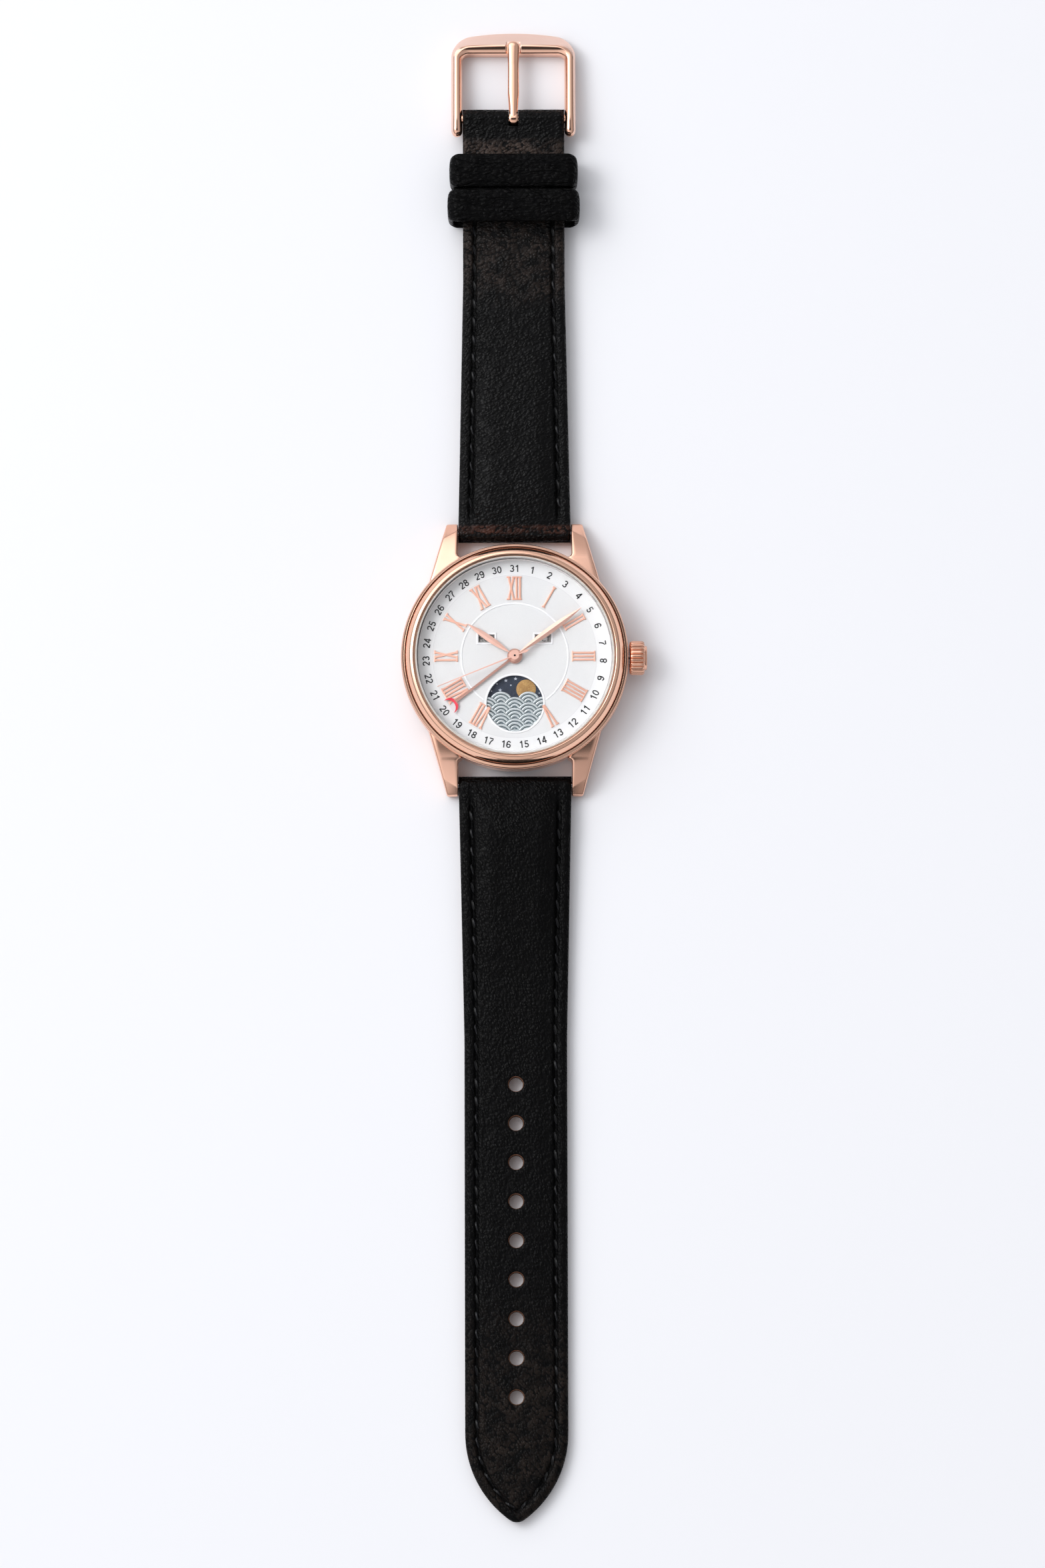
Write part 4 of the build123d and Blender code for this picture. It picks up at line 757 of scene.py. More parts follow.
moon_navy = painted_finish("moon_navy", (0.1, 0.15, 0.23), (0.08, 0.12, 0.19), 0.6, 2200.0, 6e-6)
calendar_silver = painted_finish("calendar_silver", (0.76, 0.76, 0.75), (0.7, 0.7, 0.69), 0.45, 3000.0, 4e-6)
seal_nylon = painted_finish("seal_rubber", (0.85, 0.83, 0.8), (0.78, 0.76, 0.73), 0.35, 800.0)
holder_plastic = painted_finish("holder_plastic", (0.82, 0.81, 0.78), (0.76, 0.75, 0.72), 0.5, 700.0, 1e-5)
board_green = painted_finish("board_green", (0.1, 0.3, 0.17), (0.07, 0.22, 0.12), 0.35, 1500.0, 8e-6)
date_hand_metal = date_hand_finish()
moon_gold = moon_finish()
crystal_glass = crystal_finish()


# Case, bezel, glass and crown


def lug_shell(side, end):
    """One lug: sections |u|^9 + |v|^9 = 1 between an inner edge that curves into the case and a straight
    outer edge. Its top falls along an arc z = z0 - R + sqrt(R^2 - (y - y0)^2), then more steeply past a
    slanting crease."""
    crease = 19.85
    corner_y, corner_r, root_inner = 16.757, 0.7, 8.3
    near = np.concatenate([np.linspace(lug_root - 0.3, 15.8, 12), np.linspace(16.0, crease - 0.04, 20)])
    past = np.linspace(crease + 0.04, lug_tip - lug_nose, 9)
    rounded = lug_tip - lug_nose * (1 - np.sin(np.linspace(0.1, np.pi / 2, 9)))
    row = np.concatenate([near[:1], near, past, rounded])
    u, v = soft_section(64, 9.0)
    slant = np.interp(row, [16.9, crease, lug_tip - lug_nose], [0.0, 0.75, 0.0])
    y = row[:, None] - slant[:, None] * u
    inner = np.interp(y, [11.3, 12.6, 13.4, 15.2, 16.05], [11.2, 10.3, 9.3, 8.9, root_inner])
    curve = root_inner + np.sqrt(np.clip(corner_r**2 - (y - corner_y) ** 2, 0, None))
    curved = (y > corner_y - corner_r) & (y < corner_y)
    inner = np.where(curved, curve, np.where(y >= corner_y, lug_face, inner))
    outer = lug_root_x + (lug_tip_x - lug_root_x) * (y - lug_root) / (lug_tip - lug_root)
    fall, run = lug_root_z - lug_tip_z, lug_tip - lug_root
    arc = (run**2 + fall**2) / (2 * fall)
    top = lug_root_z - arc + np.sqrt(arc**2 - np.clip(y - lug_root, 0, None) ** 2)
    top = top - 0.3 * np.clip(row - crease, 0, None)[:, None] - 0.16 * (1 + u)
    foot = np.interp(y, [lug_root, lug_tip], [0.55, 0.35])
    nose = np.sqrt(np.clip(1 - ((row - lug_tip + lug_nose) / lug_nose) ** 2, 0, 1))
    size = np.where(row > lug_tip - lug_nose, nose, 1.0)
    size[0] = 0
    half_x = (outer - inner) / 2 * ((0.55 + 0.45 * size) * (size > 0))[:, None]
    x = (inner + outer) / 2 + half_x * u
    z = (top + foot) / 2 + (top - foot) / 2 * size[:, None] * v
    return capped_loft(np.stack([side * x, end * y, z], -1))


def build_case():
    """The barrel as a turned ring, and its four lugs."""
    barrel = rounded_outline(
        [
            (16.0, 5.9), (18.0, 5.9), (18.0, 2.4), (17.75, 1.2),
            (17.3, 0.55), (17.05, 0.55), (17.05, 1.15), (16.0, 1.15),
        ],
        [0.05, 0.22, 0.5, 0.4, 0.08, 0.05, 0.05, 0.05],
    )
    shells = [turned_ring(barrel, 240)]
    shells += [lug_shell(side, end) for side in (-1, 1) for end in (-1, 1)]
    finish_piece("case_body", *join_shells(shells), case_metal, "case", "case_metal", ["case_middle"])


def build_bezel():
    """A turned ring: a slope down to the glass, a crowned band, a narrow groove and a low outer ring."""
    outline = rounded_outline(
        [
            (15.75, 5.9), (17.9, 5.9), (17.9, 6.42), (17.48, 6.74), (17.38, 6.5), (17.28, 6.78),
            (17.02, 7.35), (16.62, 7.9), (16.1, 8.1), (15.75, 7.78),
        ],
        [0.03, 0.05, 0.16, 0.06, 0.03, 0.06, 0.24, 0.2, 0.14, 0.08],
    )
    finish_piece("bezel_ring", *turned_ring(outline, 240), bezel_metal, "case", "case_metal", ["bezel"])


def build_crystal():
    """A turned disc of glass with an eased bevel: profile points from the axis out and back to it."""
    low, high, radius = 7.25, 8.45, 15.5
    corners = [(0.0, low), (radius, low), (radius, high), (0.0, high)]
    eased = rounded_outline(corners, [0.01, 0.06, 0.14, 0.01])
    flat = np.array([0.0, 5.0, 10.0, 14.8])
    bottom = np.column_stack([flat, np.full(4, low)])
    top = np.column_stack([flat[::-1], np.full(4, high)])
    profile = np.vstack([bottom, eased[eased[:, 0] > 15.0], top])
    disc = turned_ring(profile, 200, closed=False)
    finish_piece("crystal_disc", *disc, crystal_glass, "case", "crystal_glass", ["crystal"])


def build_crown():
    """A fluted barrel turned about X: radius = profile - flute(x) groove(24 a), where the groove is narrow
    and the ridge broad, hollow behind and with a low cap in front."""
    profile = np.array(
        [
            (19.9, 0.0), (19.9, 1.3), (19.85, 1.36), (18.2, 1.36), (18.15, 1.41), (18.15, 2.2), (18.17, 2.38),
            (18.24, 2.52), (18.34, 2.62), (18.48, 2.68), (18.62, 2.7), (19.0, 2.7), (19.4, 2.7), (19.8, 2.7),
            (20.1, 2.69), (20.25, 2.66), (20.38, 2.6), (20.47, 2.5), (20.53, 2.36), (20.55, 2.2),
            (20.55, 2.0), (20.58, 1.95), (20.8, 1.93), (20.89, 1.88), (20.94, 1.78), (20.95, 1.6),
            (20.95, 0.8), (20.95, 0.0),
        ]
    )
    flutes = 24
    angle = np.linspace(0, 2 * np.pi, flutes * 12, endpoint=False)
    groove = np.clip(-np.cos(flutes * angle), 0, 1) ** 1.8
    along, radius = profile[:, :1], profile[:, 1:]
    fluted = smooth_step(radius, 2.1, 2.5)
    r = radius - 0.22 * fluted * groove
    points = np.stack([np.broadcast_to(along, r.shape), r * np.cos(angle), crown_z + r * np.sin(angle)], -1)
    barrel = capped_loft(points)
    finish_piece("crown_fluted", *barrel, crown_metal, "crown", "case_metal", ["crown"], sharp=60)


# Dial


def raised_arc(radius, width, height, start, end):
    """A rounded rib bent round the dial: a soft section carried between two clock angles, closed at its
    ends."""
    steps = 200
    u, v = soft_section(16, 3.0)
    angle = np.linspace(np.radians(start), np.radians(end), steps)[:, None]
    size = np.ones((steps, 1))
    size[[0, -1]] = 0
    r = radius + size * u * width / 2
    z = dial_top + size * v * height
    return capped_loft(np.stack([r * np.sin(angle), r * np.cos(angle), z], -1))


def build_dial_trim():
    """The glossy hour ring, which stops at the moon's ring, and the ring round the moon opening."""
    ring = raised_arc(hour_ring_r, 0.27, 0.09, -145.6, 145.6)
    outline = rounded_outline([(4.46, 5.4), (4.76, 5.4), (4.76, 5.62), (4.46, 5.62)], 0.07)
    moon_ring = turned_ring(outline, 140, (0.0, moon_y))
    finish_piece("dial_trim", *join_shells([ring, moon_ring]), trim_white, "case", "dial_white")


def build_window_frames():
    """Two raised frames: an outer and an inner rectangle with a crowned border between them."""
    shells = []
    share = np.array([0.0, 0.0, 0.15, 0.35, 0.65, 0.85, 1.0, 1.0])
    rise = np.array([-0.1, 0.04, 0.1, 0.13, 0.13, 0.1, 0.04, -0.1])
    corner = np.linspace(0, np.pi / 2, 5)
    for side in (-1, 1):
        rings = []
        for s, h in zip(share, rise):
            half = np.array(window_half) + 0.32 * s
            ring = np.concatenate(corner_arcs(*half, 0.04 + 0.08 * s, corner))
            ring = ring + (side * window_x, window_y)
            rings.append(np.column_stack([ring, np.full(len(ring), dial_top + h)]))
        points = np.array(rings)
        shells.append((points.reshape(-1, 3), grid_quads(*points.shape[:2], True, True)))
    finish_piece("window_frames", *join_shells(shells), trim_white, "case", "dial_white")


def turning(turn):
    """The matrix that turns rows of (x, y) by an angle."""
    return np.array([[math.cos(turn), math.sin(turn)], [-math.sin(turn), math.cos(turn)]])


def written(text, place, turn, z):
    """A word as a flat solid, centred on a place, turned, and with its underside at a height."""
    depth, narrow = 0.01, 0.95
    curve = bpy.data.curves.new("letters", "FONT")
    curve.body = text
    curve.size = 1.1
    curve.align_x = "CENTER"
    curve.align_y = "CENTER"
    curve.extrude = depth / 2
    curve.resolution_u = 4
    holder = bpy.data.objects.new("letters", curve)
    bpy.context.scene.collection.objects.link(holder)
    mesh = bpy.data.meshes.new_from_object(holder.evaluated_get(bpy.context.evaluated_depsgraph_get()))
    points = np.empty(len(mesh.vertices) * 3)
    mesh.vertices.foreach_get("co", points)
    points = points.reshape(-1, 3)
    middle = (points.min(0) + points.max(0)) / 2
    flat = (points[:, :2] - middle[:2]) * (narrow, 1.0) @ turning(turn)
    placed = np.column_stack([flat + np.asarray(place), points[:, 2] + depth / 2 + z])
    faces = [tuple(face.vertices) for face in mesh.polygons]
    bpy.data.objects.remove(holder)
    bpy.data.curves.remove(curve)
    bpy.data.meshes.remove(mesh)
    return placed, faces


def finish_letters(name, words, material, body):
    """One piece from several written words."""
    points = np.vstack([word[0] for word in words])
    starts = np.cumsum([0] + [len(word[0]) for word in words[:-1]])
    faces = [
        [int(start) + corner for corner in face] for start, word in zip(starts, words) for face in word[1]
    ]
    mesh = bpy.data.meshes.new(name)
    mesh.from_pydata((points * MILLIMETRE).tolist(), [], faces)
    mesh.validate()
    mesh.materials.append(material)
    piece = bpy.data.objects.new(name, mesh)
    bpy.context.scene.collection.objects.link(piece)
    return place_piece(piece, body, ())


def bow(x, y, half_width, half_height, start, end, steps=18):
    """Part of an oval's line, from one angle in degrees to another."""
    angle = np.radians(np.linspace(start, end, steps))
    return np.column_stack([x + half_width * np.cos(angle), y + half_height * np.sin(angle)])


def figure_lines():
    """Centre lines of the figures 0 to 9 in a box 0.56 wide and 1 high."""
    six = np.vstack([bow(0.3, 0.46, 0.225, 0.465, 38, 180), bow(0.28, 0.3, 0.205, 0.225, 180, 540, 26)])
    lines = {
        0: [bow(0.28, 0.5, 0.205, 0.425, 0, 360, 30)],
        1: [(0.34, 0.0), (0.34, 1.0)],
        2: np.vstack([bow(0.28, 0.7, 0.205, 0.225, 172, -38), [(0.1, 0.1), (0.075, 0.075)]]),
        3: bow(0.28, 0.715, 0.185, 0.21, 160, -90),
        4: [(0.4, 0.0), (0.4, 1.0)],
        5: np.vstack(
            [[(0.47, 0.925), (0.145, 0.925), (0.115, 0.52)], bow(0.275, 0.315, 0.205, 0.24, 128, -160)]
        ),
        6: six,
        7: np.vstack([[(0.04, 0.925), (0.49, 0.925)], bow(0.75, 0.05, 0.53, 0.8, 122, 183)]),
        8: bow(0.28, 0.72, 0.175, 0.205, 0, 360, 26),
        9: (0.56, 1.0) - six,
    }
    extra = {
        1: [[(0.12, 0.73), (0.36, 0.93)]],
        2: [[(0.06, 0.075), (0.5, 0.075)]],
        3: [bow(0.28, 0.29, 0.205, 0.215, 90, -162)],
        4: [[(0.4, 0.95), (0.06, 0.29)], [(0.02, 0.27), (0.55, 0.27)]],
        8: [bow(0.28, 0.29, 0.205, 0.215, 0, 360, 26)],
    }
    return {
        figure: [np.asarray(line, float).reshape(-1, 2), *extra.get(figure, [])]
        for figure, line in lines.items()
    }


def ribbon(line, width, z, depth):
    """A flat solid along a line: at each point half the width to both sides, across the line's direction."""
    line = np.asarray(line, float)
    step = np.gradient(line, axis=0)
    across = np.column_stack([-step[:, 1], step[:, 0]]) / np.linalg.norm(step, axis=1)[:, None]
    left, right = line + across * width / 2, line - across * width / 2
    corners = [(left, z), (right, z), (right, z + depth), (left, z + depth)]
    loops = np.stack([np.column_stack([side, np.full(len(side), height)]) for side, height in corners], 1)
    caps = np.array([[0, 1, 2, 3]]) + np.array([[0], [4 * len(line) - 4]])
    return loops.reshape(-1, 3), np.vstack([grid_quads(len(line), 4, False, True), caps])


def build_date_numbers():
    """The numbers 1 to 31 round the dial's edge, with tops outward above and inward below."""
    figures = figure_lines()
    tall, wide, stroke, pitch = 1.13, 1.3, 0.19, 0.63
    shells = []
    for day in range(1, 32):
        angle = math.radians(day * 360 / 31)
        turn = -angle + (math.pi if 8 <= day <= 22 else 0)
        text = str(day)
        for place, letter in enumerate(text):
            shift = (pitch * (place - (len(text) - 1) / 2) - 0.28, -0.5)
            for line in figures[int(letter)]:
                flat = (np.asarray(line, float) + shift) * (wide, tall) @ turning(turn)
                flat = flat + (date_ring_r * math.sin(angle), date_ring_r * math.cos(angle))
                shells.append(ribbon(flat, stroke, dial_top + 0.002, 0.012))
    finish_piece("date_numbers", *join_shells(shells), print_black, "case", sharp=30)


def build_calendar_words():
    """Day names round one disc and month names round the other, each read straight in its window."""
    days = ["MON", "TUE", "WED", "THU", "FRI", "SAT", "SUN"]
    months = ["OCT", "NOV", "DEC", "JAN", "FEB", "MAR", "APR", "MAY", "JUN", "JUL", "AUG", "SEP"]
    discs = ((days, -1, "day_names", "day_disc"), (months, 1, "month_names", "month_disc"))
    for names, side, name, body in discs:
        words = []
        reach = -side * (disc_x - window_x)
        for number, word in enumerate(names):
            turn = 2 * math.pi * number / len(names)
            place = (side * disc_x + reach * math.cos(turn), window_y + reach * math.sin(turn))
            words.append(written(word, place, turn, disc_top + 0.002))
        finish_letters(name, words, calendar_black, body)


def star_shell(x, y, size):
    """A five-pointed star with a ridge to each point: ten corners round a raised middle, and the same
    below."""
    angle = np.pi / 2 + np.arange(10) * np.pi / 5
    reach = np.where(np.arange(10) % 2 == 0, size, 0.42 * size)
    height = np.full(10, disc_top + 0.01)
    rim = np.column_stack([x + reach * np.cos(angle), y + reach * np.sin(angle), height])
    top = np.tile([x, y, disc_top + 0.04], (10, 1))
    bottom = np.tile([x, y, disc_top - 0.02], (10, 1))
    points = np.array([bottom, rim, top])
    return points.reshape(-1, 3), grid_quads(3, 10, False, True)


def build_moon_picture():
    """Two moons opposite each other on the disc, each a low dome, and a scatter of stars beside each."""
    moon_r, moon_x, moon_up = 1.545, 1.77, 2.3
    moons, stars = [], []
    places = [
        (0.12, 4.0, 0.3), (-1.42, 3.72, 0.32), (-2.82, 3.18, 0.18), (-0.63, 2.96, 0.18),
        (-2.32, 2.16, 0.32), (-3.7, 2.02, 0.18), (3.86, 1.7, 0.18),
    ]
    ring = np.linspace(0, moon_r, 14)
    dome = np.column_stack([ring, disc_top + 0.03 + 0.05 * np.sqrt(1 - (ring / (moon_r + 0.015)) ** 2)])
    profile = np.vstack([[0.0, disc_top - 0.01], [moon_r, disc_top - 0.01], dome[::-1]])
    for half in (1, -1):
        moons.append(turned_ring(profile, 96, (half * moon_x, moon_y + half * moon_up), closed=False))
        stars += [star_shell(half * x, moon_y + half * y, size) for x, y, size in places]
    finish_piece("moons", *join_shells(moons), moon_gold, "moon_disc")
    finish_piece("stars", *join_shells(stars), star_white, "moon_disc", sharp=20)


def build_wave_plate():
    """Overlapping scales as a height over the plate: at each point the front-most scale that covers it
    gives z = base + bands(distance to its middle), and the plate ends above at the skyline of the back
    row."""
    wave_r, column, row_height, first_top = 1.91, 2.186, 0.86, 1.95
    plate_half, plate_r, base, foot = 4.62, 4.64, 5.1, 4.97
    ribs = ((1.49, wave_r), (0.95, 1.39), (0.46, 0.84), (-0.3, 0.3))
    tops = [
        (c * column, first_top - row * row_height)
        for row in range(8)
        for c in (range(-1, 2, 2) if row % 2 == 0 else range(-2, 3, 2))
    ]
    x = np.linspace(-plate_half, plate_half, 231)
    centres = np.array(tops)
    skyline = np.full_like(x, -9.0)
    for cx, top in centres[:5]:
        inside = np.clip(wave_r**2 - (x - cx) ** 2, 0, None)
        skyline = np.where(inside > 0, np.maximum(skyline, top - wave_r + np.sqrt(inside)), skyline)
    limit = np.sqrt(np.clip(plate_r**2 - x**2, 1e-4, None))
    upper = np.minimum(skyline, limit)
    share = np.linspace(0, 1, 190)[:, None]
    y = -limit + share * (upper + limit)
    x = np.broadcast_to(x, y.shape)
    rho = np.full(y.shape, 9.0)
    for cx, top in centres:
        distance = np.hypot(x - cx, y - (top - wave_r))
        rho = np.where(distance <= wave_r, distance, rho)
    height = np.zeros_like(rho)
    for low, high in ribs:
        t = np.clip((rho - low) / (high - low), 0, 1)
        height = np.maximum(height, np.where((rho >= low) & (rho <= high), np.sin(np.pi * t) ** 0.45, 0))
    under_dial = smooth_step(np.hypot(x, y), 4.42, 4.46)
    z = base + 0.23 * height * (1 - under_dial)
    z = np.where(under_dial > 0.5, 5.08, z)
    top = np.stack([x, y + moon_y, z], -1)
    bottom = np.stack([x, y + moon_y, np.full_like(z, foot)], -1)
    kept = np.ones((top.shape[0] - 1, top.shape[1] - 1), bool)
    sheets = closed_sheets(top, bottom, kept)
    finish_piece("wave_relief", *sheets, wave_silver, "case", "wave_silver", ["wave_plate"])


# Straps


def taper_half(y):
    """Half a strap's width as it tapers from the lugs to its even part."""
    return np.interp(y, [bar_y, taper_end], [strap_start_half, strap_end_half])


def pointed_half(y):
    """Half the long strap's width: the taper, then an arc sqrt(R^2 - y^2) on each side, then the rounded
    point."""
    arc = strap_end_half - point_r + np.sqrt(np.clip(point_r**2 - (y - point_start) ** 2, 0, None))
    nose = np.sqrt(np.clip(point_round**2 - (y - point_middle) ** 2, 0, None))
    touch = point_middle + point_round * (point_middle - point_start) / (point_r - point_round)
    return np.where(y < point_start, taper_half(y), np.where(y < touch, arc, nose))


def edge_distance(x, y, pointed):
    """How far a point lies inside the strap's outline."""
    side = np.clip(taper_half(y) - np.abs(x), 0, None)
    if not pointed:
        return side
    arc = point_r - np.hypot(np.abs(x) + point_r - strap_end_half, y - point_start)
    nose = point_round - np.hypot(x, y - point_middle)
    slant = (point_r - strap_end_half) / (point_middle - point_start)
    end = np.where((y > point_middle) & (np.abs(x) < slant * (y - point_middle)), nose, arc)
    return np.clip(np.where(y > point_start, end, side), 0, None)


def stitched_share(y, pointed):
    """1 where the stitch line runs, and 0 beside the bar and beside the buckle."""
    share = smooth_step(y, 21.5, 24.0)
    return share if pointed else share * (1 - smooth_step(y, 78.0, 80.0))


def edge_fall(depth, pad, stitched=1.0):
    """How far the leather lies below its crown at a distance from the edge: the pad falls over a near
    shoulder and a broad slope to the stitch line, which is sunk, and the band outside it swells and rolls
    over the edge."""
    shoulder = 1 - smooth_step(depth, edge_band + 0.1, edge_band + 0.85)
    slope = 1 - smooth_step(depth, edge_band + 0.3, pad_edge)
    fall = pad * (0.45 * shoulder + 0.55 * slope)
    fall = fall + stitched * 0.38 * np.exp(-(((depth - edge_band) / 0.3) ** 2))
    fall = fall - stitched * 0.07 * np.sin(np.pi * np.clip(depth / edge_band, 0, 1))
    roll = np.clip(1 - depth / 0.95, 0, 1)
    return fall + 0.6 * (1 - np.sqrt(1 - roll**2))


def strap_columns():
    """Places across the strap at full width: even over the holes, wider on the pad, and close at the
    edges."""
    middle = np.linspace(-hole_square, hole_square, hole_steps)
    pad = np.linspace(hole_square, pad_edge, 11)[1:]
    band = np.linspace(pad_edge, 7.0, 17)[1:]
    roll = strap_end_half - 0.9 * (1 - np.sin(np.linspace(0, np.pi / 2, 10)))
    side = np.unique(np.round(np.concatenate([pad, band, roll]), 5))
    return np.concatenate([-side[::-1], middle, side])


def side_path(path):
    """A strap's top as (y, z) rows with their outward directions: n = (-dz, dy) of the path, made unit
    length."""
    step = np.gradient(path, axis=0)
    out = np.column_stack([-step[:, 1], step[:, 0]])
    return out / np.maximum(np.linalg.norm(out, axis=1)[:, None], 1e-9)


def strap_crown(y, pointed):
    """Height of the strap's middle line: up from the bar's loop to the pad, down to the thin part, eased."""
    if pointed:
        stops = [[bar_y, 27.3, 50.3, 136.6], [3.3, 4.2, 2.6, 2.2]]
    else:
        places = [bar_y, 27.3, 50.3, fold_start - 0.6, fold_start + 0.3, pin_y]
        stops = [places, [3.3, 4.2, 3.45, 3.45, 3.3, 4.15]]
    spread = np.array([-2.0, -1.2, -0.5, 0.0, 0.5, 1.2, 2.0])
    eased = np.mean([np.interp(y + s, *stops) for s in spread], 0)
    loop = smooth_step(y, bar_y, bar_y + 2.5)
    value = np.interp(y, *stops) * (1 - loop) + eased * loop
    if not pointed:
        end = smooth_step(y, pin_y - 2.2, pin_y - 0.6)
        value = value * (1 - end) + np.interp(y, *stops) * end
    return value


def strap_pad(y, pointed):
    """How much thicker the padded middle is than the edge."""
    if pointed:
        return np.interp(y, [bar_y, 23.3, 29.3, 50.3, 125, 136], [0.15, 0.75, 1.25, 0.34, 0.28, 0.12])
    stops = [bar_y, 23.3, 29.3, 50.3, 77.0, fold_start, pin_y]
    return np.interp(y, stops, [0.15, 0.75, 1.25, 0.37, 0.3, 0.1, 0.0])


def strap_underside(y, pointed):
    """Underside of the whole strap: level behind the loop, then down to what it lies on."""
    return np.interp(y, [24.3, 38.3], [0.5, 0.0 if pointed else 1.15])


def wrap_holes(x, y, radius=hole_r):
    """Bends a grid round the holes: within 1.9 mm of a hole, p = (1-w) circle + w square, where w grows
    from the square ring that becomes the rim. Says which quads stay, and how far each point is from its
    hole."""
    number = np.clip(np.round((y - first_hole) / hole_pitch), 0, hole_count - 1)
    b = y - (first_hole + number * hole_pitch)
    m = np.maximum(np.abs(x), np.abs(b))
    inside = m < hole_square - 1e-6
    w = np.clip((m - hole_rim) / (hole_square - hole_rim), 0, 1)
    reach = np.maximum(np.hypot(x, b), 1e-9)
    bent_x = (1 - w) * radius * x / reach + w * x
    bent_b = (1 - w) * radius * b / reach + w * b
    new_x = np.where(inside, bent_x, x)
    new_y = np.where(inside, y - b + bent_b, y)
    within = m <= hole_rim + 1e-6
    cut = within[:-1, :-1] & within[1:, :-1] & within[1:, 1:] & within[:-1, 1:]
    distance = np.hypot(new_x, new_y - (y - b))
    return new_x, new_y, ~cut, distance


def strap_rows(pointed):
    """Distances from the watch at which the strap's grid has its rows."""
    near = np.concatenate([np.linspace(bar_y, lining_start, 12), np.linspace(lining_start + 0.05, 65.4, 96)])
    if not pointed:
        fold = [np.linspace(fold_start + 0.02, slot_start - 0.04, 6), np.linspace(slot_start, pin_y, 10)]
        return np.concatenate([near, np.linspace(65.8, fold_start, 40), *fold])
    rows = [near]
    for number in range(hole_count):
        centre = first_hole + number * hole_pitch
        rows.append(np.linspace(centre - hole_square, centre + hole_square, hole_steps))
        if number < hole_count - 1:
            rows.append(np.linspace(centre + hole_square, centre + hole_pitch - hole_square, 8)[1:-1])
    rows.append(np.linspace(last_hole + hole_square, point_end - point_nose, 56)[1:])
    rows.append(point_end - point_nose * (1 - np.sin(np.linspace(0.06, np.pi / 2, 16))))
    return np.unique(np.round(np.concatenate(rows), 6))


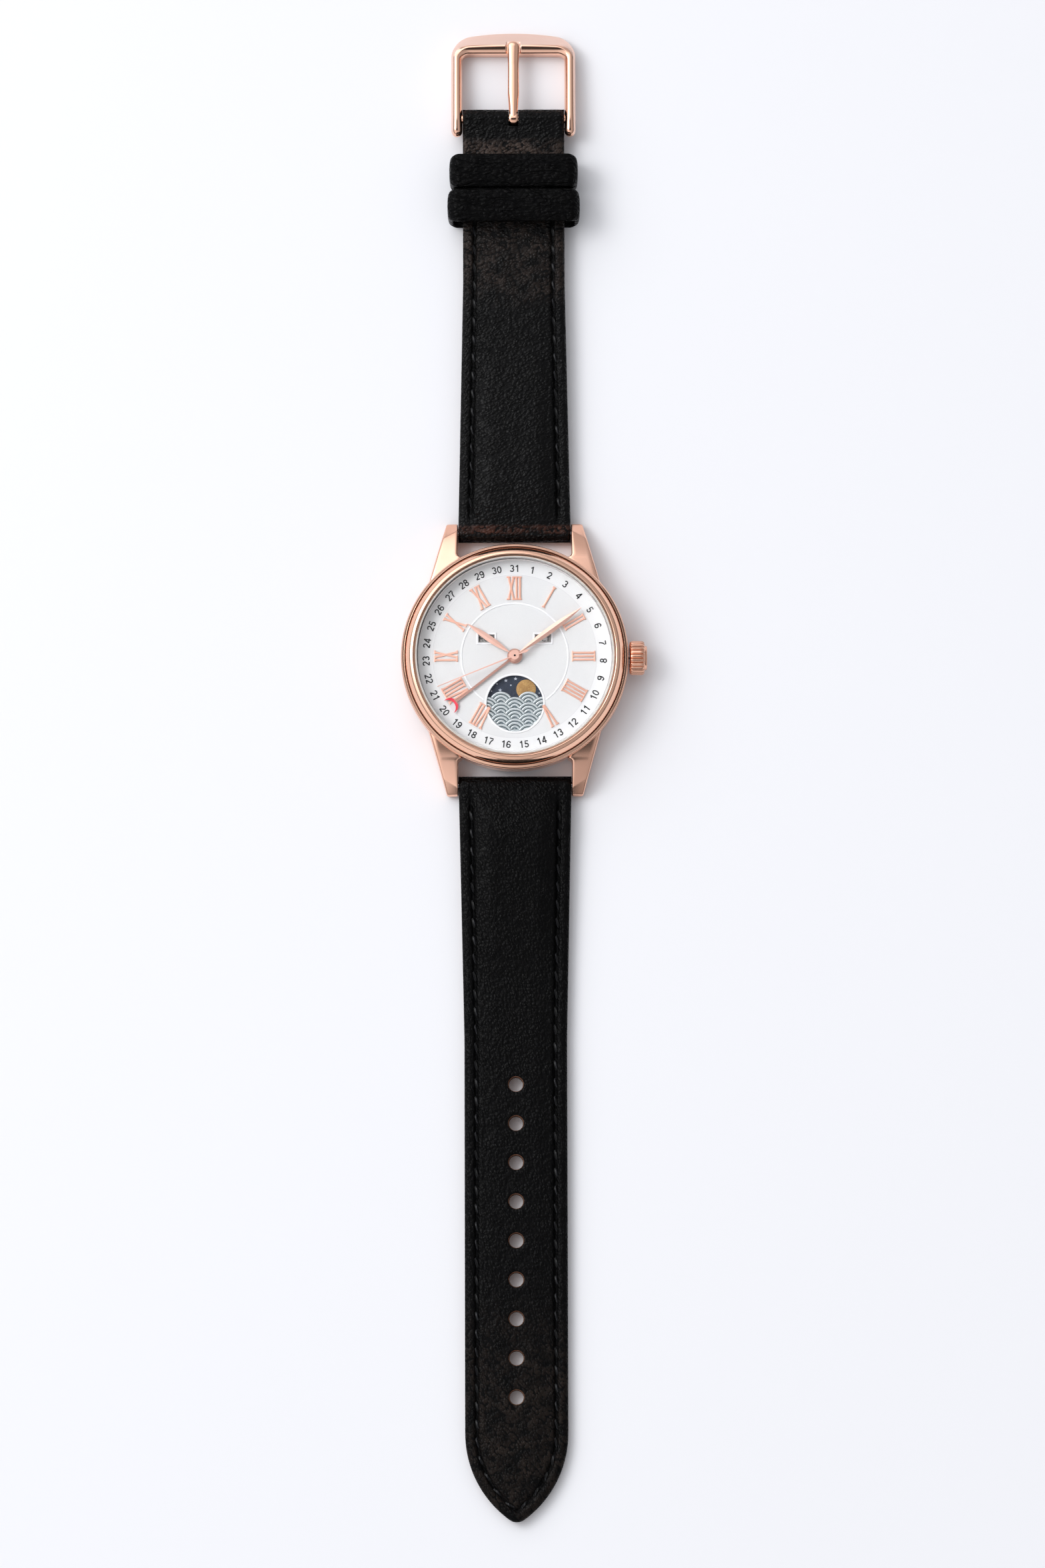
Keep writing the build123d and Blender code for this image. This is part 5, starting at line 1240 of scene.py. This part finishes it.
def strap_cover(which, material):
    """The cover leather: two sheets joined at their edges and round the bar. The upper follows the side
    path lowered by edge_fall along its outward direction, the lower runs round the loop and over the
    lining. A strip lies under the slot, and the attribute stitch_channel is 1 in the sunk line."""
    pointed = which == "long"
    end = -1 if pointed else 1
    turn = np.linspace(np.pi, np.pi / 2, 12)[:-1]
    rows = strap_rows(pointed)
    path = np.column_stack([rows, strap_crown(rows, pointed)])
    start = np.column_stack([bar_y + loop_r * np.cos(turn), bar_z + loop_r * np.sin(turn)])
    lined = (rows > lining_start) & (pointed | (rows <= fold_start))
    under = strap_underside(rows, pointed) + np.where(lined, lining_thick, 0.0)
    lower = np.column_stack([rows, under])
    lower_start = np.column_stack([bar_y + loop_r * np.cos(turn), bar_z - loop_r * np.sin(turn)])
    upper_path, lower_path = np.vstack([start, path]), np.vstack([lower_start, lower])
    if not pointed:
        turn = np.linspace(np.pi / 2, 0, 12)[1:]
        ring = np.column_stack([pin_y + pin_loop_r * np.cos(turn), pin_z + pin_loop_r * np.sin(turn)])
        upper_path = np.vstack([upper_path, ring])
        lower_path = np.vstack([lower_path, ring * (1, -1) + (0, 2 * pin_z)])
    out = side_path(upper_path)
    columns = strap_columns()
    y = np.broadcast_to(upper_path[:, :1], (len(upper_path), len(columns)))
    half = (pointed_half if pointed else taper_half)(upper_path[:, 0])
    x = columns * (half / strap_end_half)[:, None]
    kept = np.ones((x.shape[0] - 1, x.shape[1] - 1), bool)
    hole_distance = np.full(x.shape, 9.0)
    if pointed:
        x, y, kept, hole_distance = wrap_holes(x, y)
    else:
        step = columns[len(columns) // 2 + 4]
        x = np.where((y > fold_start) & (np.abs(columns) < step + 0.01), x * slot_half / step, x)
        centre = np.abs(columns[:-1] + columns[1:]) / 2 < step
        kept = ~(centre[None, :] & (upper_path[:-1, 0] > slot_start - 0.01)[:, None])
    depth = edge_distance(x, np.clip(y, bar_y, None), pointed)
    pad = strap_pad(upper_path[:, 0], pointed)[:, None]
    fall = edge_fall(depth, pad, stitched_share(y, pointed))
    hole_swell = 0.07 * np.exp(-(((hole_distance - 1.55) / 0.22) ** 2))
    fall = fall - hole_swell + 0.12 * (1 - smooth_step(hole_distance, hole_r, 1.36))
    if not pointed:
        gap = np.abs(np.abs(x) - slot_half)
        fall = fall + 0.2 * (1 - smooth_step(gap, 0.0, 0.35)) * smooth_step(y, fold_start, slot_start)
    middle_z = np.broadcast_to(upper_path[:, 1:], x.shape)
    if pointed:
        middle_z = np.where(y > bar_y, np.interp(y, path[:, 0], path[:, 1]), middle_z)
    lower_z = lower_path[:, 1:] + 0.1 * (1 - smooth_step(depth, 0.0, 0.3))
    top = np.stack([x, end * (y - fall * out[:, :1]), middle_z - fall * out[:, 1:]], -1)
    bottom = np.stack([x, end * y, lower_z], -1)
    shells = [closed_sheets(top, bottom, kept)]
    if not pointed:
        strip_half = slot_half + 0.05
        across, along = np.meshgrid([-strip_half, strip_half], np.linspace(slot_start - 0.1, pin_y + 0.2, 4))
        strips = [
            np.stack([across, along, np.full(across.shape, pin_z - reach)], -1) for reach in (1.36, 1.49)
        ]
        shells.append(closed_sheets(*strips, np.ones((3, 1), bool)))
    name, body, replaced = f"{which}_strap_leather", f"{which}_strap", [f"{which}_strap_cover"]
    piece = finish_piece(name, *join_shells(shells), material, body, "strap_leather", replaced, sharp=60)
    place = np.empty(len(piece.data.vertices) * 3)
    piece.data.vertices.foreach_get("co", place)
    place = place.reshape(-1, 3) / MILLIMETRE
    along = end * place[:, 1]
    sunk = stitched_share(along, pointed)
    off_line = edge_distance(place[:, 0], np.clip(along, bar_y, None), pointed) - edge_band
    # stitch_channel marks the sunk stitch line, where the leather's material paints shade.
    channel = piece.data.attributes.new("stitch_channel", "FLOAT", "POINT")
    channel.data.foreach_set("value", (sunk * np.exp(-((off_line / 0.42) ** 2))).astype(np.float32))


def strap_lining(which):
    """The lining: a level sheet under the cover, a little narrower, with its lower edges eased."""
    pointed = which == "long"
    end = -1 if pointed else 1
    rows = strap_rows(pointed)
    rows = rows[(rows > lining_start + 0.02) & (rows <= (point_end if pointed else fold_start))]
    columns = strap_columns()
    half = (pointed_half if pointed else taper_half)(rows)
    x = columns * (np.clip(half - 0.08, 0.0, None) / strap_end_half)[:, None]
    y = np.broadcast_to(rows[:, None], x.shape)
    full = columns * (half / strap_end_half)[:, None]
    on_holes = (rows > 60.0) & (rows < 120.0)
    x = np.where(on_holes[:, None] & (np.abs(columns) < 2.0), full, x)
    kept = np.ones((x.shape[0] - 1, x.shape[1] - 1), bool)
    if pointed:
        x, y, kept, _ = wrap_holes(x, y, 1.1)
        y = np.minimum(y, point_end - 0.08)
    under = strap_underside(rows, pointed)[:, None]
    depth = edge_distance(x, y, pointed)
    roll = np.clip(1 - depth / 0.4, 0, 1)
    lower_z = under + 0.3 * (1 - np.sqrt(1 - roll**2))
    upper_z = np.broadcast_to(under + lining_thick - 0.005, x.shape)
    top = np.stack([x, end * y, upper_z], -1)
    bottom = np.stack([x, end * y, lower_z], -1)
    name, body, replaced = f"{which}_lining", f"{which}_strap", [f"{which}_strap_lining"]
    sheets = closed_sheets(top, bottom, kept)
    finish_piece(name, *sheets, lining_leather, body, "lining_leather", replaced, sharp=60)


def thread_shell(x, y, z, heading):
    """A row of stitches: each a soft grain of thread bent down into its two holes, z = crown - drop t^2."""
    length, thick, drop = 2.0, 0.56, 0.22
    around, along = 6, 7
    t = np.linspace(-1, 1, along)
    girth = np.sqrt(np.clip(1 - (np.abs(t) * 0.98) ** 3.2, 0, 1))
    girth[[0, -1]] = 0
    angle = np.linspace(0, 2 * np.pi, around, endpoint=False)
    local_s = np.broadcast_to((t * length / 2)[:, None], (along, around))
    local_w = girth[:, None] * np.cos(angle) * thick / 2
    local_h = girth[:, None] * np.sin(angle) * thick / 2 * 0.8 - drop * (t**2)[:, None]
    ca, sa = np.cos(heading)[:, None, None], np.sin(heading)[:, None, None]
    px = x[:, None, None] + ca * local_s - sa * local_w
    py = y[:, None, None] + sa * local_s + ca * local_w
    pz = z[:, None, None] + local_h
    points = np.stack([px, py, pz], -1).reshape(-1, 3)
    one = grid_quads(along, around, False, True)
    starts = np.arange(len(x))[:, None, None] * along * around
    return points, (one + starts).reshape(-1, 4)


def build_stitches(which):
    """Stitches one pitch apart along the sunk line inside the edge, each turned a little across that line."""
    pointed = which == "long"
    end = -1 if pointed else 1
    last = point_start if pointed else 76.0
    run = np.linspace(23.6, last, 400)
    line = np.column_stack([pointed_half(run) - edge_band, run])
    if pointed:
        aside, reach = point_r - strap_end_half, point_r - edge_band
        sweep = np.linspace(0, math.acos(aside / reach), 120)
        arc = np.column_stack([reach * np.cos(sweep) - aside, point_start + reach * np.sin(sweep)])
        line = np.vstack([line, arc[1:]])
    length = np.concatenate([[0], np.cumsum(np.linalg.norm(np.diff(line, axis=0), axis=1))])
    count = int(length[-1] // stitch_pitch)
    stations = (np.arange(count) + 0.5) * length[-1] / count
    x = np.interp(stations, length, line[:, 0])
    y = np.interp(stations, length, line[:, 1])
    before, after = stations - 0.2, stations + 0.2
    nudge_x = np.interp(after, length, line[:, 0]) - np.interp(before, length, line[:, 0])
    nudge_y = np.interp(after, length, line[:, 1]) - np.interp(before, length, line[:, 1])
    lean = 0.24 * end
    heading = np.arctan2(nudge_y, nudge_x) + lean
    pad = strap_pad(y, pointed)
    z = strap_crown(y, pointed) - edge_fall(np.full_like(y, edge_band), pad) + 0.16
    x, y, z = np.concatenate([x, -x]), np.concatenate([y, y]), np.concatenate([z, z])
    heading = np.concatenate([heading, np.pi - heading + 2 * lean])
    points, quads = thread_shell(x, end * y, z, end * heading)
    finish_piece(f"{which}_strap_stitches", points, quads, thread, f"{which}_strap")


def build_keeper(name, node, middle, width, wall, body):
    """A leather band: a soft section |u|^3 + |v|^3 = 1 carried round a rounded rectangle, its outer face
    crowned."""
    height, half_length = 6.9, 2.65
    flat = np.linspace(0, 1, 24)[1:-1, None]
    loops = []
    for inset, radius in ((0.0, 1.7), (wall, 0.75)):
        arcs = corner_arcs(width / 2 - inset, height / 2 - inset, radius, np.linspace(0, np.pi / 2, 12))
        pieces = []
        for one, following in zip(arcs, arcs[1:] + arcs[:1]):
            pieces += [one, one[-1] + flat * (following[0] - one[-1])]
        loops.append(np.concatenate(pieces))
    outer, inner = loops
    u, v = soft_section(48, 3.0)
    across = 0.5 + 0.5 * v
    crown = 0.1 * (1 - u**2) * (v > 0)
    spread = inner[:, None, :] + (outer - inner)[:, None, :] * (across * 0.94 + crown * 0.6)[None, :, None]
    narrowed = 1 - 0.14 * smooth_step(np.abs(spread[..., 0]), width / 2 - 1.5, width / 2)
    y = middle + half_length * u * narrowed
    points = np.stack([spread[..., 0], y, height / 2 + spread[..., 1]], -1)
    shell = (points.reshape(-1, 3), grid_quads(*points.shape[:2], True, True))
    finish_piece(name, *shell, keeper_leather, body, "strap_leather", [node])


# Buckle


def by_angle(outline, centre, angles):
    """Points of a convex outline at given angles round a centre."""
    around = np.unwrap(np.arctan2(outline[:, 1] - centre[1], outline[:, 0] - centre[0]))
    if around[-1] < around[0]:
        around, outline = around[::-1], outline[::-1]
    around = np.mod(around, 2 * np.pi)
    order = np.argsort(around)
    around, outline = around[order], outline[order]
    return np.column_stack([np.interp(angles, around, outline[:, i], period=2 * np.pi) for i in (0, 1)])


def build_buckle_frame():
    """A section carried round a U from one arm to the other: an oval on the arms that turns, through the
    corners, into a crossbar with a rolled inner edge and a long outer slope, with the tongue's rest sunk
    in the middle."""
    arm = np.linspace(0, 1, 26)
    corner = np.linspace(0, np.pi / 2, 14)[1:]
    rest = np.array([1.28, 1.15, 1.08, 1.03, 0.98, 0.9, 0.7, 0.35, 0.0]) * rest_half / 1.05
    ease = 1 - np.cos(arm * np.pi / 2)
    inner_x, inner_y = arm_inner - inner_corner, bar_inner - inner_corner
    outer_x, outer_y = arm_outer - outer_corner, bar_outer - outer_corner
    bar = np.concatenate([np.linspace(inner_x, rest[0] + 0.4, 13)[1:], rest])
    inner = np.vstack([
        np.column_stack([np.full(len(arm), arm_inner), arm_start + ease * (inner_y - arm_start)]),
        np.column_stack([inner_x + inner_corner * np.cos(corner), inner_y + inner_corner * np.sin(corner)]),
        np.column_stack([bar, np.full(len(bar), bar_inner)]),
    ])
    spread = bar + (outer_x - inner_x) * smooth_step(bar, 1.6, inner_x)
    outer = np.vstack([
        np.column_stack([np.full(len(arm), arm_outer), arm_start + ease * (outer_y - arm_start)]),
        np.column_stack([outer_x + outer_corner * np.cos(corner), outer_y + outer_corner * np.sin(corner)]),
        np.column_stack([spread, np.full(len(bar), bar_outer)]),
    ])
    outer[:, 1] += bar_arch * (1 - (outer[:, 0] / arm_outer) ** 2)
    blend = np.concatenate([np.zeros(len(arm)), smooth_step(corner, 0.15, 1.45), np.ones(len(bar))])
    angles = np.linspace(0, 2 * np.pi, 56, endpoint=False)
    u, v = soft_section(400, 2.25)
    oval = by_angle(np.column_stack([u, v]), (0, 0), angles)
    along = (inner[:, 1] + outer[:, 1]) / 2
    top = np.interp(along, [arm_start, pin_y, bar_inner], [3.7, 3.9, 3.2])
    foot = np.interp(along, [arm_start, bar_inner], [1.4, 0.0])
    arm_u = np.broadcast_to(0.5 + 0.5 * oval[:, 0], (len(along), len(angles)))
    arm_z = ((top + foot) / 2)[:, None] + ((top - foot) / 2)[:, None] * oval[:, 1]
    profile = rounded_outline(
        [
            (0, 0.35), (0, 2.95), (1.42, 3.2), (bar_width, 1.15), (bar_width, 0.35), (3.4, 0.02), (0.4, 0.02),
        ],
        [0.05, 0.85, 0.14, 0.25, 0.12, 0.1, 0.1],
        7,
    )
    bar_section = by_angle(profile, (1.7, 1.4), angles)
    section_u = (1 - blend)[:, None] * arm_u + blend[:, None] * bar_section[:, 0] / bar_width
    section_z = (1 - blend)[:, None] * arm_z + blend[:, None] * bar_section[:, 1]
    size = np.ones(len(along))
    near = along < arm_start + 1.0
    size[near] = np.sqrt(np.clip(1 - (1 - (along[near] - arm_start)) ** 2, 0, 1))
    middle = (top + foot) / 2
    section_u = 0.5 + (section_u - 0.5) * size[:, None]
    section_z = middle[:, None] + (section_z - middle[:, None]) * size[:, None]
    x = inner[:, :1] + section_u * (outer[:, :1] - inner[:, :1])
    y = inner[:, 1:] + section_u * (outer[:, 1:] - inner[:, 1:])
    beside = smooth_step(np.abs(x), rest_half - 0.08, rest_half + 0.05)
    sunk = rest_z + np.clip(section_z - rest_z, 0, None) * beside
    on_rest = (np.abs(x) < rest_half + 0.06) & (y > bar_inner - 0.2)
    z = np.where(on_rest, np.minimum(sunk, section_z), section_z)
    half = np.stack([x, y, z], -1)
    whole = capped_loft(np.concatenate([half, (half * (-1, 1, 1))[-2::-1]]))
    finish_piece("buckle_loop", *whole, buckle_metal, "buckle_frame", "buckle_metal", ["buckle_frame"])


def build_tongue():
    """A soft bar |u|^2.3 + |v|^2.3 = 1 from the pin to a thick rounded head, and a rolled loop round the
    pin."""
    start, head_r = pin_y + 0.2, 0.85
    head = tongue_end - head_r
    rounded = tongue_end - head_r * (1 - np.sin(np.linspace(0.1, np.pi / 2, 10)))
    y = np.concatenate([[start], np.linspace(start, head, 50), rounded])
    stops = [start, start + 3.5, head - 3.0, head - 1.0, tongue_end]
    top = np.interp(y, stops, [3.93, 3.86, 3.76, 3.76, 3.73])
    stops = [start, start + 1.3, start + 4.7, bar_inner - 0.4, tongue_end]
    foot = np.interp(y, stops, [2.7, 2.5, 2.7, 2.66, 2.66])
    stops = [start, start + 1.6, start + 3.8, head - 3.0, tongue_end]
    half = np.interp(y, stops, [0.7, 0.76, 0.9, 0.86, 0.97])
    size = np.where(y > head, np.sqrt(np.clip(1 - ((y - head) / head_r) ** 2, 0, 1)), 1.0)
    size[0] = 0
    u, v = soft_section(36, 2.3)
    middle = (top + foot) / 2
    x = (half * size)[:, None] * u
    z = middle[:, None] + ((top - foot) / 2 * size)[:, None] * v
    bar = capped_loft(np.stack([x, np.broadcast_to(y[:, None], x.shape), z], -1))
    turn = np.linspace(0, 2 * np.pi, 72, endpoint=False)[:, None]
    u, v = soft_section(28, 3.4)
    reach = 1.025 + 0.27 * v
    narrowed = 0.74 * (1 - 0.4 * smooth_step(-np.cos(turn), 0.2, 1.0))
    loop = np.stack([narrowed * u, pin_y + reach * np.cos(turn), pin_z + reach * np.sin(turn)], -1)
    ring = (loop.reshape(-1, 3), grid_quads(*loop.shape[:2], True, True))
    shells = join_shells([bar, ring])
    finish_piece("tongue_bar", *shells, tongue_metal, "buckle_tongue", "buckle_metal", ["buckle_tongue"])


def build_pin():
    """The buckle's pin: a turned rod along X with domed ends."""
    dome = np.array([(0.35, 0.7), (0.2, 0.66), (0.09, 0.5), (0.03, 0.3), (0.01, 0.0)])
    half = np.column_stack([arm_outer - dome[:, 0], dome[:, 1]])
    profile = np.vstack([half[::-1] * (-1, 1), [[0, 0.7]], half])
    angle = np.linspace(0, 2 * np.pi, 40, endpoint=False)
    x, r = profile[:, :1], profile[:, 1:]
    y = pin_y + r * np.cos(angle)
    rod = capped_loft(np.stack([np.broadcast_to(x, y.shape), y, pin_z + r * np.sin(angle)], -1))
    finish_piece("pin_rod", *rod, tongue_metal, "buckle_frame", "buckle_metal", ["buckle_pin"])


build_case()
build_bezel()
build_crystal()
build_crown()
build_dial_trim()
build_window_frames()
build_date_numbers()
build_calendar_words()
build_moon_picture()
build_wave_plate()
strap_cover("short", short_leather)
strap_cover("long", long_leather)
for build in (strap_lining, build_stitches):
    build("short")
    build("long")
build_keeper("sewn_keeper", "fixed_keeper", 78.0, 20.5, 1.15, "short_strap")
build_keeper("sliding_keeper", "free_keeper", 72.4, 21.1, 1.1, "free_keeper")
build_buckle_frame()
build_tongue()
build_pin()
for hour in (1, 2, 3, 4, 5, 7, 8, 9, 10, 11, 12):
    softened_copy(f"numeral_{hour}", 0.085, numeral_metal)

# Parts that stay as they were packed, by their slots
kept_finishes = {
    "case_metal": case_metal,
    "buckle_metal": tongue_metal,
    "hand_metal": hand_metal,
    "numeral_metal": numeral_metal,
    "back_steel": back_steel,
    "bar_steel": bar_steel,
    "movement_steel": movement_steel,
    "movement_brass": movement_brass,
    "coil_copper": coil_copper,
    "board_green": board_green,
    "holder_plastic": holder_plastic,
    "dial_white": dial_white,
    "flange_white": flange_white,
    "wave_silver": wave_silver,
    "moon_navy": moon_navy,
    "calendar_silver": calendar_silver,
    "crystal_glass": crystal_glass,
    "seal_rubber": seal_nylon,
    "strap_leather": keeper_leather,
    "lining_leather": lining_leather,
}
own_finishes = {"date_hand": date_hand_metal, "seconds_arbor": blued_steel}
slot_of = {part["node"]: part["material_slot"] for part in frame["record"]["subparts"]}
for name, node in nodes.items():
    finish = own_finishes.get(name, kept_finishes[slot_of[name]])
    node.data.materials.clear()
    node.data.materials.append(finish)


# Floor, lamps and camera


def build_floor():
    """A pale table that runs out of sight and bends up behind, and keeps the watch's shadow."""
    half, bend_start, bend_r = 1200.0, 700, 500
    bend = np.linspace(0.1, 1.5, 12)
    across = np.linspace(-half, half, 9)
    along = np.concatenate([np.linspace(-half, bend_start, 12), bend_start + bend_r * np.sin(bend)])
    rise = np.concatenate([np.zeros(12), bend_r * (1 - np.cos(bend))])
    x, y = np.meshgrid(across, along)
    z = np.broadcast_to(rise[:, None], x.shape) - 0.02
    mesh = bpy.data.meshes.new("table")
    points = np.stack([x, y, z], -1).reshape(-1, 3) * MILLIMETRE
    mesh.from_pydata(points.tolist(), [], grid_quads(len(along), len(across))[:, ::-1].tolist())
    mesh.polygons.foreach_set("use_smooth", [True] * len(mesh.polygons))
    material, tree, shader = start_material("table_white", Roughness=0.7, Specular_IOR_Level=0.2)
    tone = noise(tree, place_in_object(tree), 4.0, 2.0)
    tint = mix_colours(tree, tone, shade(0.952, 0.954, 0.968), shade(0.958, 0.96, 0.972))
    feed(tree, shader, {"Base Color": tint})
    mesh.materials.append(material)
    table = bpy.data.objects.new("table", mesh)
    bpy.context.scene.collection.objects.link(table)


def aim(holder, place, target):
    """Puts an object at a place with its -Z axis towards a target and its Y axis as far up as it goes."""
    at, to = (Vector(p) * MILLIMETRE for p in (place, target))
    holder.location = at
    holder.rotation_euler = (to - at).to_track_quat("-Z", "Y").to_euler()


def add_lamp(name, place, target, size, power):
    """A soft lamp, sizes in millimetres, turned to its target."""
    lamp = bpy.data.lights.new(name, "AREA")
    lamp.shape = "RECTANGLE"
    lamp.size, lamp.size_y = (s * MILLIMETRE for s in size)
    lamp.energy = power
    holder = bpy.data.objects.new(name, lamp)
    aim(holder, place, target)
    bpy.context.scene.collection.objects.link(holder)


def build_world():
    """A room for polished metal to show: light = (height(z (1 - 0.62 x^2)) * side(x) + window) * (1 -
    spot). It has a dark band round the horizon, broader at the sides, a window high up, and a dark spot
    above the watch."""
    world = bpy.data.worlds.new("room")
    bpy.context.scene.world = world
    world.use_nodes = True
    tree = world.node_tree
    direction = add_node(tree, "ShaderNodeTexCoord").outputs["Generated"]
    where = split_point(tree, direction)

    def smooth_range(value, low, high, to_low, to_high):
        values = {"Value": value, "From Min": low, "From Max": high, "To Min": to_low, "To Max": to_high}
        return add_node(tree, "ShaderNodeMapRange", values, interpolation_type="SMOOTHSTEP").outputs["Result"]

    def lobe(middle, start, full, amount):
        near = add_node(tree, "ShaderNodeVectorMath", {0: direction, 1: middle}, operation="DOT_PRODUCT")
        return smooth_range(near.outputs["Value"], start, full, 0.0, amount)

    stops = [
        (0.0, 0.35), (0.09, 0.3), (0.11, 0.1), (0.17, 0.1), (0.26, 0.68), (0.6, 0.96), (0.88, 0.8),
        (0.97, 0.5),
    ]
    sideways = product(tree, where["X"], where["X"])
    level = product(tree, where["Z"], calculate(tree, "MULTIPLY_ADD", sideways, -0.62, 1.0))
    height = ramp(tree, scale_to(tree, level, -0.1, 1.0, 0.0, 1.0), stops)
    side = smooth_range(where["X"], -0.45, 0.45, 1.1, 0.55)
    window = lobe((-0.45, 0.42, 0.79), 0.72, 0.93, 1.05)
    spot = lobe((0.0, -0.13, 0.99), 0.945, 0.988, 0.9)
    light = calculate(tree, "MULTIPLY_ADD", height, side, window)
    light = product(tree, light, calculate(tree, "SUBTRACT", 1.0, spot))
    feed(tree, tree.nodes["Background"], {"Strength": light, "Color": shade(0.985, 0.988, 1.0)})


build_floor()
build_world()
add_lamp("window_lamp", (-480, 190, 590), (0, 0, 0), (330, 330), 1.8)

camera_data = bpy.data.cameras.new("camera")
camera_data.sensor_width = 36
camera_data.lens = 174.2
camera_data.clip_start = 0.05
camera_data.clip_end = 20
camera = bpy.data.objects.new("camera", camera_data)
bpy.context.scene.collection.objects.link(camera)
tilt = math.radians(83.5)
roll = math.radians(-0.15)
distance = 1200
look = (1.17, -20.0, 3.0)
aim(camera, (look[0], look[1] - distance * math.cos(tilt), look[2] + distance * math.sin(tilt)), look)
camera.rotation_euler.rotate_axis("Z", roll)
bpy.context.scene.camera = camera
bpy.context.scene.view_settings.view_transform = "Standard"
